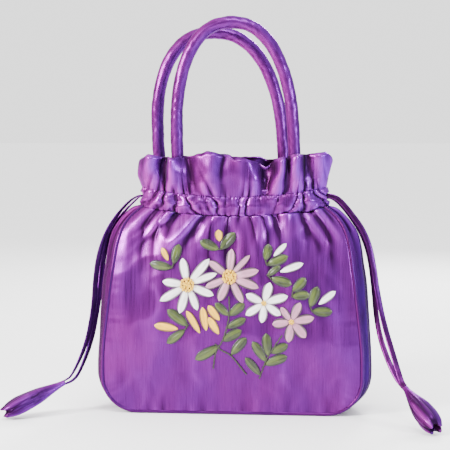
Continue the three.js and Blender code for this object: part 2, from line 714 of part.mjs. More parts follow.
function casingGeometry() {
  const rings = neckRing(casingPuckers * 4).map(({ point, out, share }) => {
    const base = casingBase(point.x);
    const pucker = puckerDepth * Math.cos(share * casingPuckers * Math.PI * 2);
    return casingSection.map((corner) => {
      const reach = corner.out * casingPuff + corner.puff * pucker;
      return new THREE.Vector3(
        point.x + out.x * reach,
        point.y + out.y * reach,
        base + corner.up * casingHeight,
      );
    });
  });
  return ringGeometry(rings, true);
}

const slotEnd = neckWidth / 2 + casingPuff - slotDepth; // how far out the bottom of a slot is

function slotGeometry(side) {
  const slot = new THREE.BoxGeometry(slotDepth * 2, slotWidth, slotHeight);
  const height = casingBase(neckWidth / 2) + casingHeight / 2;
  return slot.translate(side * (slotEnd + slotDepth), 0, height);
}

const casing = [-1, 1].reduce(
  (solid, side) => solid.subtract(toSolid(slotGeometry(side))),
  toSolid(casingGeometry()),
);
addPiece("casing", fromSolid(casing), "satin");

// The ruffle above the casing

const ruffleSteps = 96;
const ruffleRows = [0, 0.28, 0.66, 1];

// A column of the ruffle's folds at a share of the ring, eased from one row to the next.
function ruffleAt(column, share) {
  const rows = ruffleFolds;
  let next = rows.findIndex((row) => row.at > share);
  if (next < 0) next = rows.length;
  const start = rows[next - 1];
  const end = next < rows.length ? rows[next] : { ...rows[0], at: rows[0].at + 1 };
  const t = (share - start.at) / (end.at - start.at);
  return mix(start[column], end[column], (1 - Math.cos(t * Math.PI)) / 2);
}

function ruffleGeometry() {
  const layer = (inset) =>
    ruffleRows.map((up) =>
      neckRing(ruffleSteps).map(({ point, out, share }) => {
        const base = casingTop(point.x) + stitchGap;
        const top = casingBase(0) + casingHeight + ruffleHeight * ruffleAt("top", share);
        const fold = ruffleFold * ruffleAt("out", share) * (0.25 + 0.75 * up ** 0.7);
        const reach = fold + ruffleFlare * Math.sin(up * Math.PI * 0.75) - inset;
        return new THREE.Vector3(
          point.x + out.x * reach,
          point.y + out.y * reach,
          mix(base, top, up),
        );
      }),
    );
  return wallGeometry(layer(0), layer(clothWall), true);
}

addPiece("ruffle", ruffleGeometry(), "satin");

// The handles: stuffed tubes whose feet are sewn inside the casing

const handleRadius = handleDiameter / 2;

// Depth of the neck's ring at a place across the bag.
function ringDepth(x) {
  return (neckDepth / 2) * (1 - ((2 * x) / neckWidth) ** neckPower) ** (1 / neckPower);
}

// Depth of the middle of a foot that is sewn to the casing's inner face there.
function footDepth(x) {
  const slope = ringDepth(x + 0.5) - ringDepth(x - 0.5);
  return ringDepth(x) - (casingPuff / 2 + stitchGap + handleRadius) * Math.hypot(slope, 1);
}

function handleGeometry({ side, width, rise, middle, lean }) {
  const foot = bodyHeight - handleSeat;
  const top = bodyHeight + rise;
  const spring = foot + handleLeg;
  const archRise = top - spring;
  const leftDepth = footDepth(Math.abs(middle - width / 2));
  const rightDepth = footDepth(Math.abs(middle + width / 2));
  const points = [];
  const addPoint = (x, z) => {
    const swing = (lean * (z - foot)) / (top - foot);
    const inward = handleRoom * THREE.MathUtils.smoothstep(z, foot, foot + casingHeight);
    const depth = mix(leftDepth, rightDepth, x / width + 0.5) - inward;
    points.push(new THREE.Vector3(middle + x + swing, side * depth, z));
  };
  for (const share of [0, 1 / 3, 2 / 3]) addPoint(-width / 2, mix(foot, spring, share));
  const archSteps = 14;
  for (let i = 0; i <= archSteps; i++) {
    const turn = Math.PI * (1 - i / archSteps);
    const c = Math.cos(turn);
    const s = Math.sin(turn);
    const x = Math.sign(c) * Math.abs(c) ** (2 / handleArchPower) * (width / 2);
    addPoint(x, spring + archRise * Math.abs(s) ** (2 / handleArchPower));
  }
  for (const share of [2 / 3, 1 / 3, 0]) addPoint(width / 2, mix(foot, spring, share));
  const section = new THREE.Shape(new THREE.Path().absarc(0, 0, handleRadius, 0, Math.PI * 2).getPoints(5));
  return new THREE.ExtrudeGeometry(section, {
    extrudePath: new THREE.CatmullRomCurve3(points),
    steps: 26,
    curveSegments: 1,
    bevelEnabled: false,
  });
}

for (const handle of handles) addPiece(handle.name, handleGeometry(handle), "satin");

// The drawstring's free strands: flat strips of satin

const cordSides = 8;
const cordStep = cordWidth * 3;

function strandGeometry({ points, turn }) {
  const path = new THREE.CatmullRomCurve3(points.map((point) => new THREE.Vector3(...point)));
  const middle = new THREE.Vector2();
  const section = Array.from({ length: cordSides }, (_, i) => {
    const angle = (i / cordSides) * Math.PI * 2;
    return new THREE.Vector2(Math.cos(angle) * cordWidth, Math.sin(angle) * cordThickness)
      .divideScalar(2)
      .rotateAround(middle, THREE.MathUtils.degToRad(turn));
  });
  return new THREE.ExtrudeGeometry(new THREE.Shape(section), {
    extrudePath: path,
    steps: Math.round(path.getLength() / cordStep),
    bevelEnabled: false,
  });
}

for (const strand of strands) addPiece(strand.name, strandGeometry(strand), "trim");

// The tassels

function tasselGeometry({ neck, tip }) {
  const start = new THREE.Vector3(...neck);
  const axis = new THREE.Vector3(...tip).sub(start);
  const length = axis.length();
  axis.normalize();
  const across = new THREE.Vector3(0, 0, 1).cross(axis).normalize();
  const up = axis.clone().cross(across);
  const rings = tasselSections.map((section) =>
    Array.from({ length: tasselSides }, (_, i) => {
      const turn = (i / tasselSides) * Math.PI * 2;
      const petal = Math.cos(turn * tasselPetals) * 0.5 + 0.5;
      const along = length * (section.along - section.dish * (1 - petal));
      const wide = section.wide * (0.9 + 0.1 * petal);
      return start
        .clone()
        .addScaledVector(axis, along)
        .addScaledVector(across, (Math.cos(turn) * wide * tasselWidth) / 2)
        .addScaledVector(up, (Math.sin(turn) * wide * tasselThickness) / 2);
    }),
  );
  return ringGeometry(rings, false);
}

for (const tassel of tassels) addPiece(tassel.name, tasselGeometry(tassel), "trim");

// The embroidery: ribbon stitches that lie on the front panel

const raycaster = new THREE.Raycaster();
const backwards = new THREE.Vector3(0, 1, 0);

// The point that stands a height above the front panel at a place on it.
function onFront(x, z, height) {
  raycaster.set(new THREE.Vector3(x, -bodyDepth * 4, z), backwards);
  const [hit] = raycaster.intersectObject(frontPanel);
  if (!hit) throw new Error(`no cloth at ${x.toFixed(1)}, ${z.toFixed(1)}`);
  return new THREE.Vector3(x, hit.point.y - height, z);
}

// Half the width of a ribbon stitch along its length, from its narrow start to its point.
const ribbonShape = [
  { along: 0.3, half: 0.4 },
  { along: 0.68, half: 0.5 },
];

// One ribbon stitch from a start, in a direction: a flat back, two edges and a raised crease.
function ribbonGeometry(x, z, turn, length, width, lift) {
  const dx = Math.cos(THREE.MathUtils.degToRad(turn));
  const dz = Math.sin(THREE.MathUtils.degToRad(turn));
  const place = (along, side, height) =>
    onFront(x + dx * along * length - dz * side * width, z + dz * along * length + dx * side * width, height);
  const points = [place(0, 0, lift)];
  for (const { along, half } of ribbonShape)
    points.push(place(along, half, lift), place(along, -half, lift), place(along, 0, lift + ribbonRise));
  points.push(place(1, 0, lift));
  const [start, leftNear, rightNear, ridgeNear, leftFar, rightFar, ridgeFar, tip] = points.keys();
  const faces = [
    [start, leftNear, ridgeNear], [start, ridgeNear, rightNear],
    ...quad(leftNear, leftFar, ridgeFar, ridgeNear), ...quad(ridgeNear, ridgeFar, rightFar, rightNear),
    [leftFar, tip, ridgeFar], [ridgeFar, tip, rightFar],
    [start, rightNear, leftNear], ...quad(leftNear, rightNear, rightFar, leftFar), [leftFar, rightFar, tip],
  ];
  return solidGeometry(points, faces);
}

// A low round cap on the panel, between two heights.
function capGeometry(x, z, radius, low, high, sides) {
  const ring = (share, height) =>
    Array.from({ length: sides }, (_, i) => {
      const turn = (i / sides) * Math.PI * 2;
      return onFront(x + radius * share * Math.cos(turn), z + radius * share * Math.sin(turn), height);
    });
  return ringGeometry([ring(1, low), ring(1, mix(low, high, 0.5)), ring(0.55, high)], false);
}

// A thin raised line through places on the panel.
function stemGeometry(places, lift) {
  const rings = places.map(([x, z], i) => {
    const [x0, z0] = places[Math.max(i - 1, 0)];
    const [x1, z1] = places[Math.min(i + 1, places.length - 1)];
    const length = Math.hypot(x1 - x0, z1 - z0);
    const side = [(-(z1 - z0) / length) * (stemWidth / 2), ((x1 - x0) / length) * (stemWidth / 2)];
    return [
      onFront(x + side[0], z + side[1], lift),
      onFront(x, z, lift + stemHeight),
      onFront(x - side[0], z - side[1], lift),
    ];
  });
  return ringGeometry(rings, false);
}

const panelX = (share) => share * halfPanel;
const panelZ = (share) => share * bodyHeight;

for (const flower of flowers) {
  const x = panelX(flower.x);
  const z = panelZ(flower.z);
  const start = flower.knots * 0.35;
  const petals = flower.petals.map(({ turn, reach, width }) => {
    const angle = THREE.MathUtils.degToRad(turn);
    return ribbonGeometry(
      x + start * Math.cos(angle),
      z + start * Math.sin(angle),
      turn,
      flower.reach * reach - start,
      width * ribbonWidth,
      ribbonLift,
    );
  });
  const hub = capGeometry(x, z, flower.knots * 0.8, ribbonLift, ribbonLift + ribbonRise, 8);
  addPiece(`${flower.name}_petals`, joined([hub, ...petals]), flower.color);
  const low = ribbonLift + ribbonRise + stitchGap;
  addPiece(`${flower.name}_knots`, capGeometry(x, z, flower.knots, low, low + knotHeight, 9), "yellow");
}

// A stitch from a place on the panel. It starts a little behind it, so that it meets its stem.
function stitchGeometry({ x, z, turn, length, width }) {
  const angle = THREE.MathUtils.degToRad(turn);
  return ribbonGeometry(
    panelX(x) - stemWidth * Math.cos(angle),
    panelZ(z) - stemWidth * Math.sin(angle),
    turn,
    length * leafLength,
    width * ribbonWidth,
    ribbonLift,
  );
}

for (const bud of buds) addPiece(bud.name, stitchGeometry(bud), bud.color);

for (const sprig of sprigs) {
  const stems = sprig.stems.map((stem) =>
    stemGeometry(stem.map(([x, z]) => [panelX(x), panelZ(z)]), ribbonLift),
  );
  addPiece(sprig.name, joined([...stems, ...sprig.leaves.map(stitchGeometry)]), "green");
}

export default bag;
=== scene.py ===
"""A satin reticule, built as a Blender add-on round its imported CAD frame, in metres."""

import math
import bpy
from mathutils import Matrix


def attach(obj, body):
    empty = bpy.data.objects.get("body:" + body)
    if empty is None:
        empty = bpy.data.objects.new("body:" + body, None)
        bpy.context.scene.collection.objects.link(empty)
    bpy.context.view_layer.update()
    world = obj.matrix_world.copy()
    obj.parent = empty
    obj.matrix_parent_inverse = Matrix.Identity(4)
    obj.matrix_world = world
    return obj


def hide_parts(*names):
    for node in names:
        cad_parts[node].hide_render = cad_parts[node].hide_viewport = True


bl_info = {
    "name": "Satin Reticule",
    "version": (1, 0, 0),
    "blender": (4, 5, 0),
    "location": "3D View > Sidebar > Reticule",
    "description": "Builds a small satin drawstring handbag with ribbon flowers",
    "category": "Add Mesh",
}

import bmesh
import bpy
from bpy.props import FloatProperty, FloatVectorProperty, IntProperty, PointerProperty
from bpy.types import Operator, Panel, PropertyGroup
from mathutils import Euler, Matrix, Vector, noise

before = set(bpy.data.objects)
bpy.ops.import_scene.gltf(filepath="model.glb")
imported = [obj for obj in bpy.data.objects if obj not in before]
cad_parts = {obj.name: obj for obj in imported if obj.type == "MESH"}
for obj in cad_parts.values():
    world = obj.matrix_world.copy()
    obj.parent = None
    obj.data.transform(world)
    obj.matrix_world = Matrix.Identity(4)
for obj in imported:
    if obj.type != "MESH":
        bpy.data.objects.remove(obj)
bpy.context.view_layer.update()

MILLIMETRE = 0.001
ROOT = "root"


def length_size(name, description, default):
    return FloatProperty(name=name, description=description, default=default, min=0.0, unit="LENGTH")


def colour(name, description, default):
    return FloatVectorProperty(
        name=name, description=description, default=default, size=3, min=0.0, max=1.0, subtype="COLOR"
    )


def table(columns, *rows):
    """Rows of values, each made a dictionary by the names of the columns."""
    return [dict(zip(columns.split(), row)) for row in rows]


class ReticuleSizes(PropertyGroup):
    """The sizes of the bag."""

    panel_width: length_size("Panel width", "Between the side seams at the bottom", 0.215)
    body_height: length_size("Body height", "From the floor to the ends of the casing", 0.172)
    body_depth: length_size("Body depth", "Between the front and the back seam at the bottom", 0.056)
    corner_radius: length_size("Corner radius", "Of the panels' bottom corners", 0.029)
    panel_crown: length_size("Panel crown", "How far a panel swells past its seams", 0.007)
    gusset_swell: length_size("Gusset swell", "How far the side strip swells past the seams", 0.009)
    cloth_wall: length_size("Cloth wall", "Thickness of the lined satin", 0.0012)
    piping_diameter: length_size("Piping diameter", "Of the cord in the seams", 0.003)
    stitch_gap: length_size("Stitch gap", "Between sewn pieces", 0.0003)
    fold_width: length_size("Fold width", "Of a full fold on the panels", 0.008)
    fold_depth: length_size("Fold depth", "Of a full fold on the panels", 0.004)

    neck_width: length_size("Neck width", "Of the gathered neck", 0.153)
    neck_depth: length_size("Neck depth", "Of the gathered neck", 0.043)
    neck_seam_width: length_size("Neck seam width", "Between the side seams at the neck", 0.148)
    neck_seam_depth: length_size("Neck seam depth", "Between front and back seam at the neck", 0.018)
    neck_sag: length_size("Neck sag", "How much lower the casing hangs at its middle", 0.0075)
    casing_height: length_size("Casing height", "Of the band over the drawstring", 0.015)
    casing_puff: length_size("Casing puff", "How far the casing stands out over its cord", 0.0024)
    ruffle_height: length_size("Ruffle height", "Mean height above the casing", 0.034)
    ruffle_fold: length_size("Ruffle fold", "Depth of a full fold of the ruffle", 0.0044)
    ruffle_flare: length_size("Ruffle flare", "How far the ruffle leans out", 0.0026)
    puckers: IntProperty(name="Puckers", description="Gathers round the whole neck", default=24, min=8)

    handle_diameter: length_size("Handle diameter", "Of the stuffed tubes", 0.0108)
    handle_seat: length_size("Handle seat", "How far the feet reach below the casing's ends", 0.001)
    handle_leg: length_size("Handle leg", "From a foot to where its leg starts to curve in", 0.055)
    front_handle_rise: length_size("Front handle rise", "From the casing's ends to the arch", 0.151)
    front_handle_width: length_size("Front handle width", "Between the middles of its legs", 0.097)
    back_handle_rise: length_size("Back handle rise", "From the casing's ends to the arch", 0.144)
    back_handle_width: length_size("Back handle width", "Between the middles of its legs", 0.105)
    handle_room: length_size("Handle room", "Between a leg and the ruffle's inward folds", 0.0016)

    cord_width: length_size("Cord width", "Of the drawstring's flat strip", 0.0046)
    cord_thickness: length_size("Cord thickness", "Of the drawstring's flat strip", 0.0016)
    slot_width: length_size("Slot width", "Of the opening at each end of the casing", 0.013)
    slot_height: length_size("Slot height", "Of the opening at each end of the casing", 0.007)
    tassel_width: length_size("Tassel width", "At its widest", 0.019)
    tassel_thickness: length_size("Tassel thickness", "At its thickest", 0.015)

    ribbon_width: length_size("Ribbon width", "Of the embroidery's ribbon", 0.007)
    ribbon_rise: length_size("Ribbon rise", "How far a stitch's crease stands above its edges", 0.001)
    ribbon_lift: length_size("Ribbon lift", "From the cloth to a stitch's edge", 0.0006)
    daisy_reach: length_size("Daisy reach", "From a daisy's centre to a petal's tip", 0.024)
    blossom_reach: length_size("Blossom reach", "From a blossom's centre to a petal's tip", 0.0175)
    daisy_knots: length_size("Daisy knots", "Radius of a daisy's knotted centre", 0.0062)
    blossom_knots: length_size("Blossom knots", "Radius of a blossom's knotted centre", 0.0034)
    leaf_length: length_size("Leaf length", "Of a leaf stitch", 0.018)
    knot_diameter: length_size("Knot diameter", "Of a knotted stitch in a daisy", 0.0029)
    stem_width: length_size("Stem width", "Of the stems' thread", 0.0013)


class ReticuleColours(PropertyGroup):
    """The colours of the bag's cloth and ribbons."""

    # The warp and weft's two colours; which one shows is chosen by the way the cloth faces, a painted shot
    # sheen.
    satin_pink: colour("Satin, pink side", "The shot satin where it leans to the left", (0.155, 0.011, 0.148))
    satin_blue: colour("Satin, blue side", "The shot satin where it leans to the right", (0.06, 0.009, 0.165))
    white: colour("White ribbon", "Petals of the white flowers", (0.86, 0.84, 0.85))
    lilac: colour("Lilac ribbon", "Petals of the lilac flowers", (0.46, 0.2, 0.31))
    yellow: colour("Yellow ribbon", "Buds", (0.88, 0.46, 0.008))
    knot: colour("Knot thread", "Centres of the flowers", (0.9, 0.5, 0.03))
    # The leaves' second tone is a painted highlight on one half across each leaf, and also shows in random
    # patches.
    leaf: colour("Leaf ribbon", "The darker side of the leaves", (0.0095, 0.0155, 0.001))
    leaf_light: colour("Leaf ribbon, light", "The lighter side of the leaves", (0.055, 0.082, 0.004))
    stem: colour("Stem thread", "Stems", (0.022, 0.02, 0.01))
    floor: colour("Floor", "Floor and backdrop", (0.93, 0.93, 0.93))


# How finely the pieces are drawn: steps along, across or round them.
FLOOR_STATIONS, CORNER_STATIONS, SIDE_STATIONS = 40, 30, 100
PANEL_COLUMNS, GUSSET_COLUMNS = 150, 36
PIPING_RINGS, PIPING_SIDES = 520, 14
NECK_SAMPLES = 1440
CASING_LEVELS, CASING_COLUMNS = 36, 620
LINING_LEVELS, LINING_COLUMNS = 10, 310
RUFFLE_LEVELS, RUFFLE_COLUMNS = 52, 640
HANDLE_RINGS, HANDLE_SIDES = 340, 32
STRAND_RINGS, STRAND_SIDES = 150, 20
TASSEL_LEVELS, TASSEL_SIDES = 64, 96
STITCH_STEPS, STITCH_LANES = 20, 12

# Powers of the rounded outlines, where 2 is an ellipse and more is squarer.
NECK_POWER = 2.6
ARCH_POWER = 2.3

# Distance in the noise from one seed to the next.
NOISE_STEP = 7.31
# Steps of a smooth path from one given point to the next.
PATH_STEPS = 24
# Distance to each side over which a slope is measured.
PROBE = 0.5 * MILLIMETRE

# A place in the bag that outward faces look away from.
BAG_INSIDE = Vector((0, 0, 0.1))
# The range of depths, from a crest to a valley, that the marks of the folds tell apart, and over which the
# satin's painted fold shade and highlight change.
FOLD_RANGE = 1.6 * MILLIMETRE

# Seeds of the two panels' relief.
FRONT_SEED, BACK_SEED = 11, 17

# Where the ends of the casing begin, from its middle, as a share of the neck's width.
CASING_END = 0.46
# From where to where the casing's inner layer reaches, as shares of the casing's height.
LINING_REACH = (-0.3, 1.35)
# How far that layer lies inside the ring, in millimetres.
LINING_INSET = 1.5

TASSEL_PETALS = 4
# Where a flower's petal starts, as a share of the radius of its knots.
PETAL_START = 0.35
# How much higher each petal in a round of three lies than the one before it.
PETAL_LIFT = 0.1 * MILLIMETRE
# The size of a blossom's single knot, as a share of a daisy's.
BLOSSOM_KNOT = 0.62
RIBBON_WALL = 0.25 * MILLIMETRE
NARROWEST_STITCH = 0.03
FIRST_STITCH_SEED, STITCH_SEED_STEP = 100.0, 1.7

# Strengths of the world's light: darker in front of the bag than behind it, and a softbox above.
# The camera sees an even pale backdrop instead.
FRONT_LIGHT, BACK_LIGHT, SOFTBOX_LIGHT, BACKDROP_LIGHT = 0.4, 0.95, 2.65, 1.95
# Square lamps that face the bag, with the length of a side in metres and the power in watts.
LAMP_TARGET = Vector((0, 0, 0.13))
LAMPS = table(
    "name place size power",
    ("key_light", (-0.9, -0.75, 0.6), 0.3, 34),
    ("fill_light", (0.95, -0.7, 0.45), 0.25, 12),
    ("top_light", (0.05, -0.55, 1.15), 0.4, 9),
    ("back_light", (0.25, 1.15, 0.75), 0.3, 20),
)
# The lens and the sensor are in millimetres.
CAMERA_LENS = 104.6
CAMERA_SENSOR = 36
CAMERA_PLACE = (0.0878, -1.0913, 0.2316)
CAMERA_TARGET = Vector((-0.0052, -0.028, 0.157))

# The body from the floor to the neck. drawn goes from 0 at full width to 1 at the neck's width,
# closed does the same for the depth, crown is a share of the panel crown, swell of the gusset's.
BODY_SECTIONS = table(
    "height drawn closed crown swell",
    (0, 0, 0, 0, 0.5), (0.17, 0, 0, 0.6, 0.84), (0.29, 0.01, 0, 0.95, 0.8),
    (0.385, 0.05, 0.02, 1, 0.84), (0.56, 0.155, 0.1, 0.85, 0.98), (0.64, 0.2, 0.18, 0.7, 1.04),
    (0.72, 0.26, 0.28, 0.55, 1), (0.79, 0.31, 0.4, 0.45, 0.97), (0.85, 0.38, 0.52, 0.35, 0.87),
    (0.905, 0.49, 0.66, 0.2, 0.6), (0.95, 0.66, 0.82, 0.1, 0.45), (0.98, 0.84, 0.93, 0, 0.35),
    (1, 1, 1, 0, 0.28),
)

# Folds that run down from the neck, from a top to a foot, as shares of half the panel's width and
# of the body's height. out is a share of the fold depth, wide of the fold width, and crease says
# how sharp it is: 2 is soft, 1 is a crease.
FRONT_FOLDS = table(
    "top foot out wide crease",
    ((-0.78, 0.97), (-0.86, 0.72), 0.5, 0.8, 1.2), ((-0.36, 0.99), (-0.76, 0.78), -1.15, 1.1, 1.7),
    ((-0.24, 0.97), (-0.68, 0.68), 0.7, 0.8, 1.2), ((-0.02, 0.98), (-0.1, 0.86), 0.4, 0.7, 1.2),
    ((0.31, 0.99), (0.33, 0.8), -1, 0.7, 1.5), ((0.41, 0.99), (0.46, 0.74), 0.65, 0.8, 1.1),
    ((0.47, 1), (0.84, 0.74), 0.65, 0.8, 1.1), ((0.59, 0.98), (0.8, 0.8), -0.85, 0.9, 1.7),
)
# Smaller folds of the front between those, which only show close up.
FINE_FRONT_FOLDS = table(
    "top foot out wide crease",
    ((-0.66, 0.98), (-0.9, 0.84), 0.5, 0.5, 1.1), ((-0.56, 0.98), (-0.84, 0.8), -0.6, 0.6, 1.6),
    ((-0.47, 0.98), (-0.84, 0.74), 0.6, 0.5, 1.1), ((-0.19, 0.97), (-0.46, 0.74), -0.7, 0.8, 1.8),
    ((-0.12, 0.97), (-0.3, 0.78), 0.5, 0.5, 1.2), ((0.06, 0.97), (0.02, 0.84), -0.45, 0.6, 1.6),
    ((0.16, 0.97), (0.16, 0.84), 0.45, 0.6, 1.2), ((0.24, 0.98), (0.2, 0.76), 0.4, 0.6, 1.2),
    ((0.53, 0.97), (0.72, 0.72), -0.8, 0.7, 1.6), ((0.65, 0.98), (0.9, 0.78), 0.7, 0.5, 1.1),
    ((0.7, 0.98), (0.93, 0.84), -0.5, 0.5, 1.6),
)
ALL_FRONT_FOLDS = FRONT_FOLDS + FINE_FRONT_FOLDS
BACK_FOLDS = table(
    "top foot out wide crease",
    ((-0.6, 0.98), (-0.8, 0.72), -0.85, 1, 1.6), ((-0.45, 0.99), (-0.55, 0.66), 0.65, 0.9, 1.2),
    ((-0.2, 0.98), (-0.28, 0.7), -0.8, 0.9, 1.6), ((-0.02, 0.98), (-0.04, 0.72), 0.55, 0.9, 1.2),
    ((0.2, 0.98), (0.3, 0.74), -0.85, 0.9, 1.6), ((0.42, 0.99), (0.6, 0.68), 0.7, 0.9, 1.2),
    ((0.6, 0.98), (0.82, 0.76), -0.75, 0.9, 1.6),
)

# The ruffle's folds round the neck. at is the share of the ring from the middle of the front, to
# the right. out is a share of the ruffle fold, and top of the ruffle height.
RUFFLE_FOLDS = table(
    "at out top",
    (-0.5, 0.5, 0.94), (-0.455, -0.7, 0.98), (-0.415, 0.6, 0.93), (-0.375, -0.4, 0.9),
    (-0.335, 0.8, 0.93), (-0.3, -0.4, 0.9), (-0.25, 0.5, 0.78), (-0.225, 0.2, 0.92), (-0.2, 0.9, 1.02),
    (-0.172, -0.5, 0.98), (-0.145, 0.8, 0.96), (-0.1, -0.7, 1), (-0.055, 0.9, 1.1), (-0.025, 0.2, 1.05),
    (0.02, 0.7, 0.93), (0.055, 0.3, 0.87), (0.08, -1, 0.72), (0.108, 0.9, 0.93), (0.13, -0.1, 0.97),
    (0.155, 0.9, 1.04), (0.19, -0.4, 1.05), (0.22, 0.7, 1.08), (0.25, -0.3, 0.8), (0.29, 0.7, 0.92),
    (0.33, -0.3, 0.96), (0.375, 0.8, 0.93), (0.415, -0.5, 0.9), (0.46, 0.6, 0.96),
)

# The drawstring's free strands, from the casing to the tassels. turn is how far
# the strip is turned about its path: 0 lies flat on the side strip, 90 faces the front. curl is
# how much more it turns on its way down, in degrees.
STRANDS = [
    {
        "name": "left_strand_front", "turn": 0, "curl": 75, "tassel": "left_tassel",
        "points": [
            (-0.0771, -0.0034, 0.1798), (-0.0808, -0.0034, 0.1792), (-0.0864, -0.0038, 0.176),
            (-0.0926, -0.0046, 0.17), (-0.099, -0.006, 0.162), (-0.106, -0.008, 0.15),
            (-0.111, -0.009, 0.137), (-0.1142, -0.01, 0.123), (-0.1158, -0.012, 0.108),
            (-0.1166, -0.014, 0.093), (-0.118, -0.017, 0.079), (-0.1204, -0.02, 0.065),
            (-0.124, -0.0232, 0.052), (-0.128, -0.027, 0.0416), (-0.1312, -0.03, 0.0346),
            (-0.1342, -0.0325, 0.0299), (-0.1381, -0.0351, 0.0274),
        ],
    },
    {
        "name": "left_strand_back", "turn": 0, "curl": 65, "tassel": "left_tassel",
        "points": [
            (-0.0771, 0.0034, 0.179), (-0.0808, 0.0034, 0.178), (-0.0858, 0.0037, 0.1736),
            (-0.0922, 0.004, 0.1672), (-0.0994, 0.004, 0.1582), (-0.1058, 0.0036, 0.147),
            (-0.1096, 0.003, 0.136), (-0.1119, 0.002, 0.123), (-0.1132, -0.001, 0.108),
            (-0.1144, -0.005, 0.093), (-0.1158, -0.01, 0.079), (-0.1176, -0.0155, 0.065),
            (-0.1206, -0.0206, 0.0515), (-0.1246, -0.026, 0.0394), (-0.1284, -0.0297, 0.031),
            (-0.1326, -0.0324, 0.0268), (-0.1371, -0.0351, 0.025),
        ],
    },
    {
        "name": "right_strand_front", "turn": 90, "curl": -25, "tassel": "right_tassel",
        "points": [
            (0.0771, -0.0034, 0.1798), (0.081, -0.0034, 0.1796), (0.0864, -0.0038, 0.1776),
            (0.0924, -0.0048, 0.172), (0.0994, -0.006, 0.1634), (0.1056, -0.007, 0.1548),
            (0.1107, -0.0084, 0.1448), (0.1144, -0.01, 0.133), (0.1168, -0.0122, 0.1205),
            (0.1188, -0.015, 0.107), (0.121, -0.0184, 0.095), (0.1235, -0.022, 0.083),
            (0.1263, -0.0264, 0.072), (0.1296, -0.0314, 0.061), (0.1332, -0.0374, 0.0495),
            (0.136, -0.043, 0.0404), (0.1385, -0.048, 0.0332), (0.1406, -0.0518, 0.0304),
        ],
    },
    {
        "name": "right_strand_back", "turn": 90, "curl": 20, "tassel": "right_tassel",
        "points": [
            (0.0771, 0.0034, 0.1796), (0.081, 0.0034, 0.1792), (0.0862, 0.0037, 0.176),
            (0.0922, 0.004, 0.1698), (0.0992, 0.004, 0.1606), (0.1058, 0.0036, 0.15),
            (0.1108, 0.003, 0.138), (0.114, 0.0018, 0.125), (0.116, -0.001, 0.11),
            (0.1174, -0.006, 0.097), (0.1186, -0.012, 0.084), (0.1204, -0.018, 0.0726),
            (0.123, -0.0244, 0.0618), (0.1268, -0.0314, 0.0514), (0.1312, -0.038, 0.0416),
            (0.1354, -0.0428, 0.0346), (0.1389, -0.0466, 0.0306), (0.1413, -0.0504, 0.0285),
        ],
    },
]

TASSELS = table(
    "name neck tip",
    ('left_tassel', (-0.138, -0.0354, 0.026), (-0.183, -0.0635, 0.005)),
    ('right_tassel', (0.1412, -0.0516, 0.0292), (0.1635, -0.0925, 0.0048)),
)
# along is a share of the tassel's length, wide of half its width, and dish of its length, by which
# the end is drawn in between the petals' points.
TASSEL_SECTIONS = table(
    "along wide dish",
    (0, 0.31, 0), (0.06, 0.34, 0), (0.2, 0.54, 0), (0.4, 0.84, 0), (0.58, 0.98, 0), (0.74, 1, 0),
    (0.88, 0.86, 0.02), (1, 0.6, 0.07),
)

# The flowers, as shares of half the panel's width and of the body's height. A petal is its turn in
# degrees from the right, its reach as a share of the flower's and its width of the ribbon's.
FLOWERS = [
    {
        "name": "white_daisy", "place": (-0.332, 0.629), "kind": "daisy", "ribbon": "white",
        "petals": [
            (102, 0.92, 0.94), (50, 1.15, 0.92), (21, 1.08, 0.8), (-21, 0.97, 0.92),
            (-68, 0.94, 0.86), (-105, 1.02, 0.96), (-149, 1.1, 0.92), (174, 0.87, 0.92),
        ],
    },
    {
        "name": "lilac_daisy", "place": (-0.011, 0.668), "kind": "daisy", "ribbon": "lilac",
        "petals": [
            (86, 0.95, 0.9), (47, 1.02, 0.64), (13, 1.03, 0.96), (-20, 1.07, 0.96),
            (-62, 1, 0.86), (-113, 0.9, 0.96), (-156, 0.9, 0.84), (144, 0.89, 0.86),
        ],
    },
    {
        "name": "white_blossom", "place": (0.253, 0.545), "kind": "blossom", "ribbon": "white",
        "petals": [
            (74, 1, 1), (17, 1.17, 0.96), (-35, 0.96, 0.9), (-96, 0.93, 0.86), (-146, 1.02, 0.92),
            (154, 0.93, 0.92),
        ],
    },
    {
        "name": "lilac_blossom", "place": (0.462, 0.458), "kind": "blossom", "ribbon": "lilac",
        "petals": [
            (66, 0.98, 0.9), (10, 1.07, 0.96), (-48, 1, 1), (-98, 0.97, 0.96), (-172, 0.9, 0.94),
            (126, 0.84, 0.74),
        ],
    },
]

# Single stitches: place and turn as above, length as a share of a leaf's and width of the ribbon's.
BUDS = [
    ("yellow_bud_1", (-0.484, 0.742), 118, 0.66, 0.64, "yellow"),
    ("yellow_bud_2", (-0.09, 0.836), 97, 0.52, 0.8, "yellow"),
    ("yellow_bud_3", (-0.405, 0.417), 172, 1.1, 0.9, "yellow"),
    ("yellow_bud_4", (-0.235, 0.4), 122, 1.18, 0.74, "yellow"),
    ("yellow_bud_5", (-0.185, 0.412), 100, 1.08, 0.84, "yellow"),
    ("yellow_bud_6", (-0.09, 0.396), 122, 0.9, 0.84, "yellow"),
    ("yellow_bud_7", (-0.085, 0.462), 128, 0.84, 0.84, "yellow"),
    ("white_bud_1", (0.325, 0.768), 45, 0.8, 0.62, "white"),
    ("white_bud_2", (0.375, 0.694), 20, 1.1, 0.8, "white"),
    ("white_bud_3", (0.668, 0.54), 39, 0.96, 0.76, "white"),
]

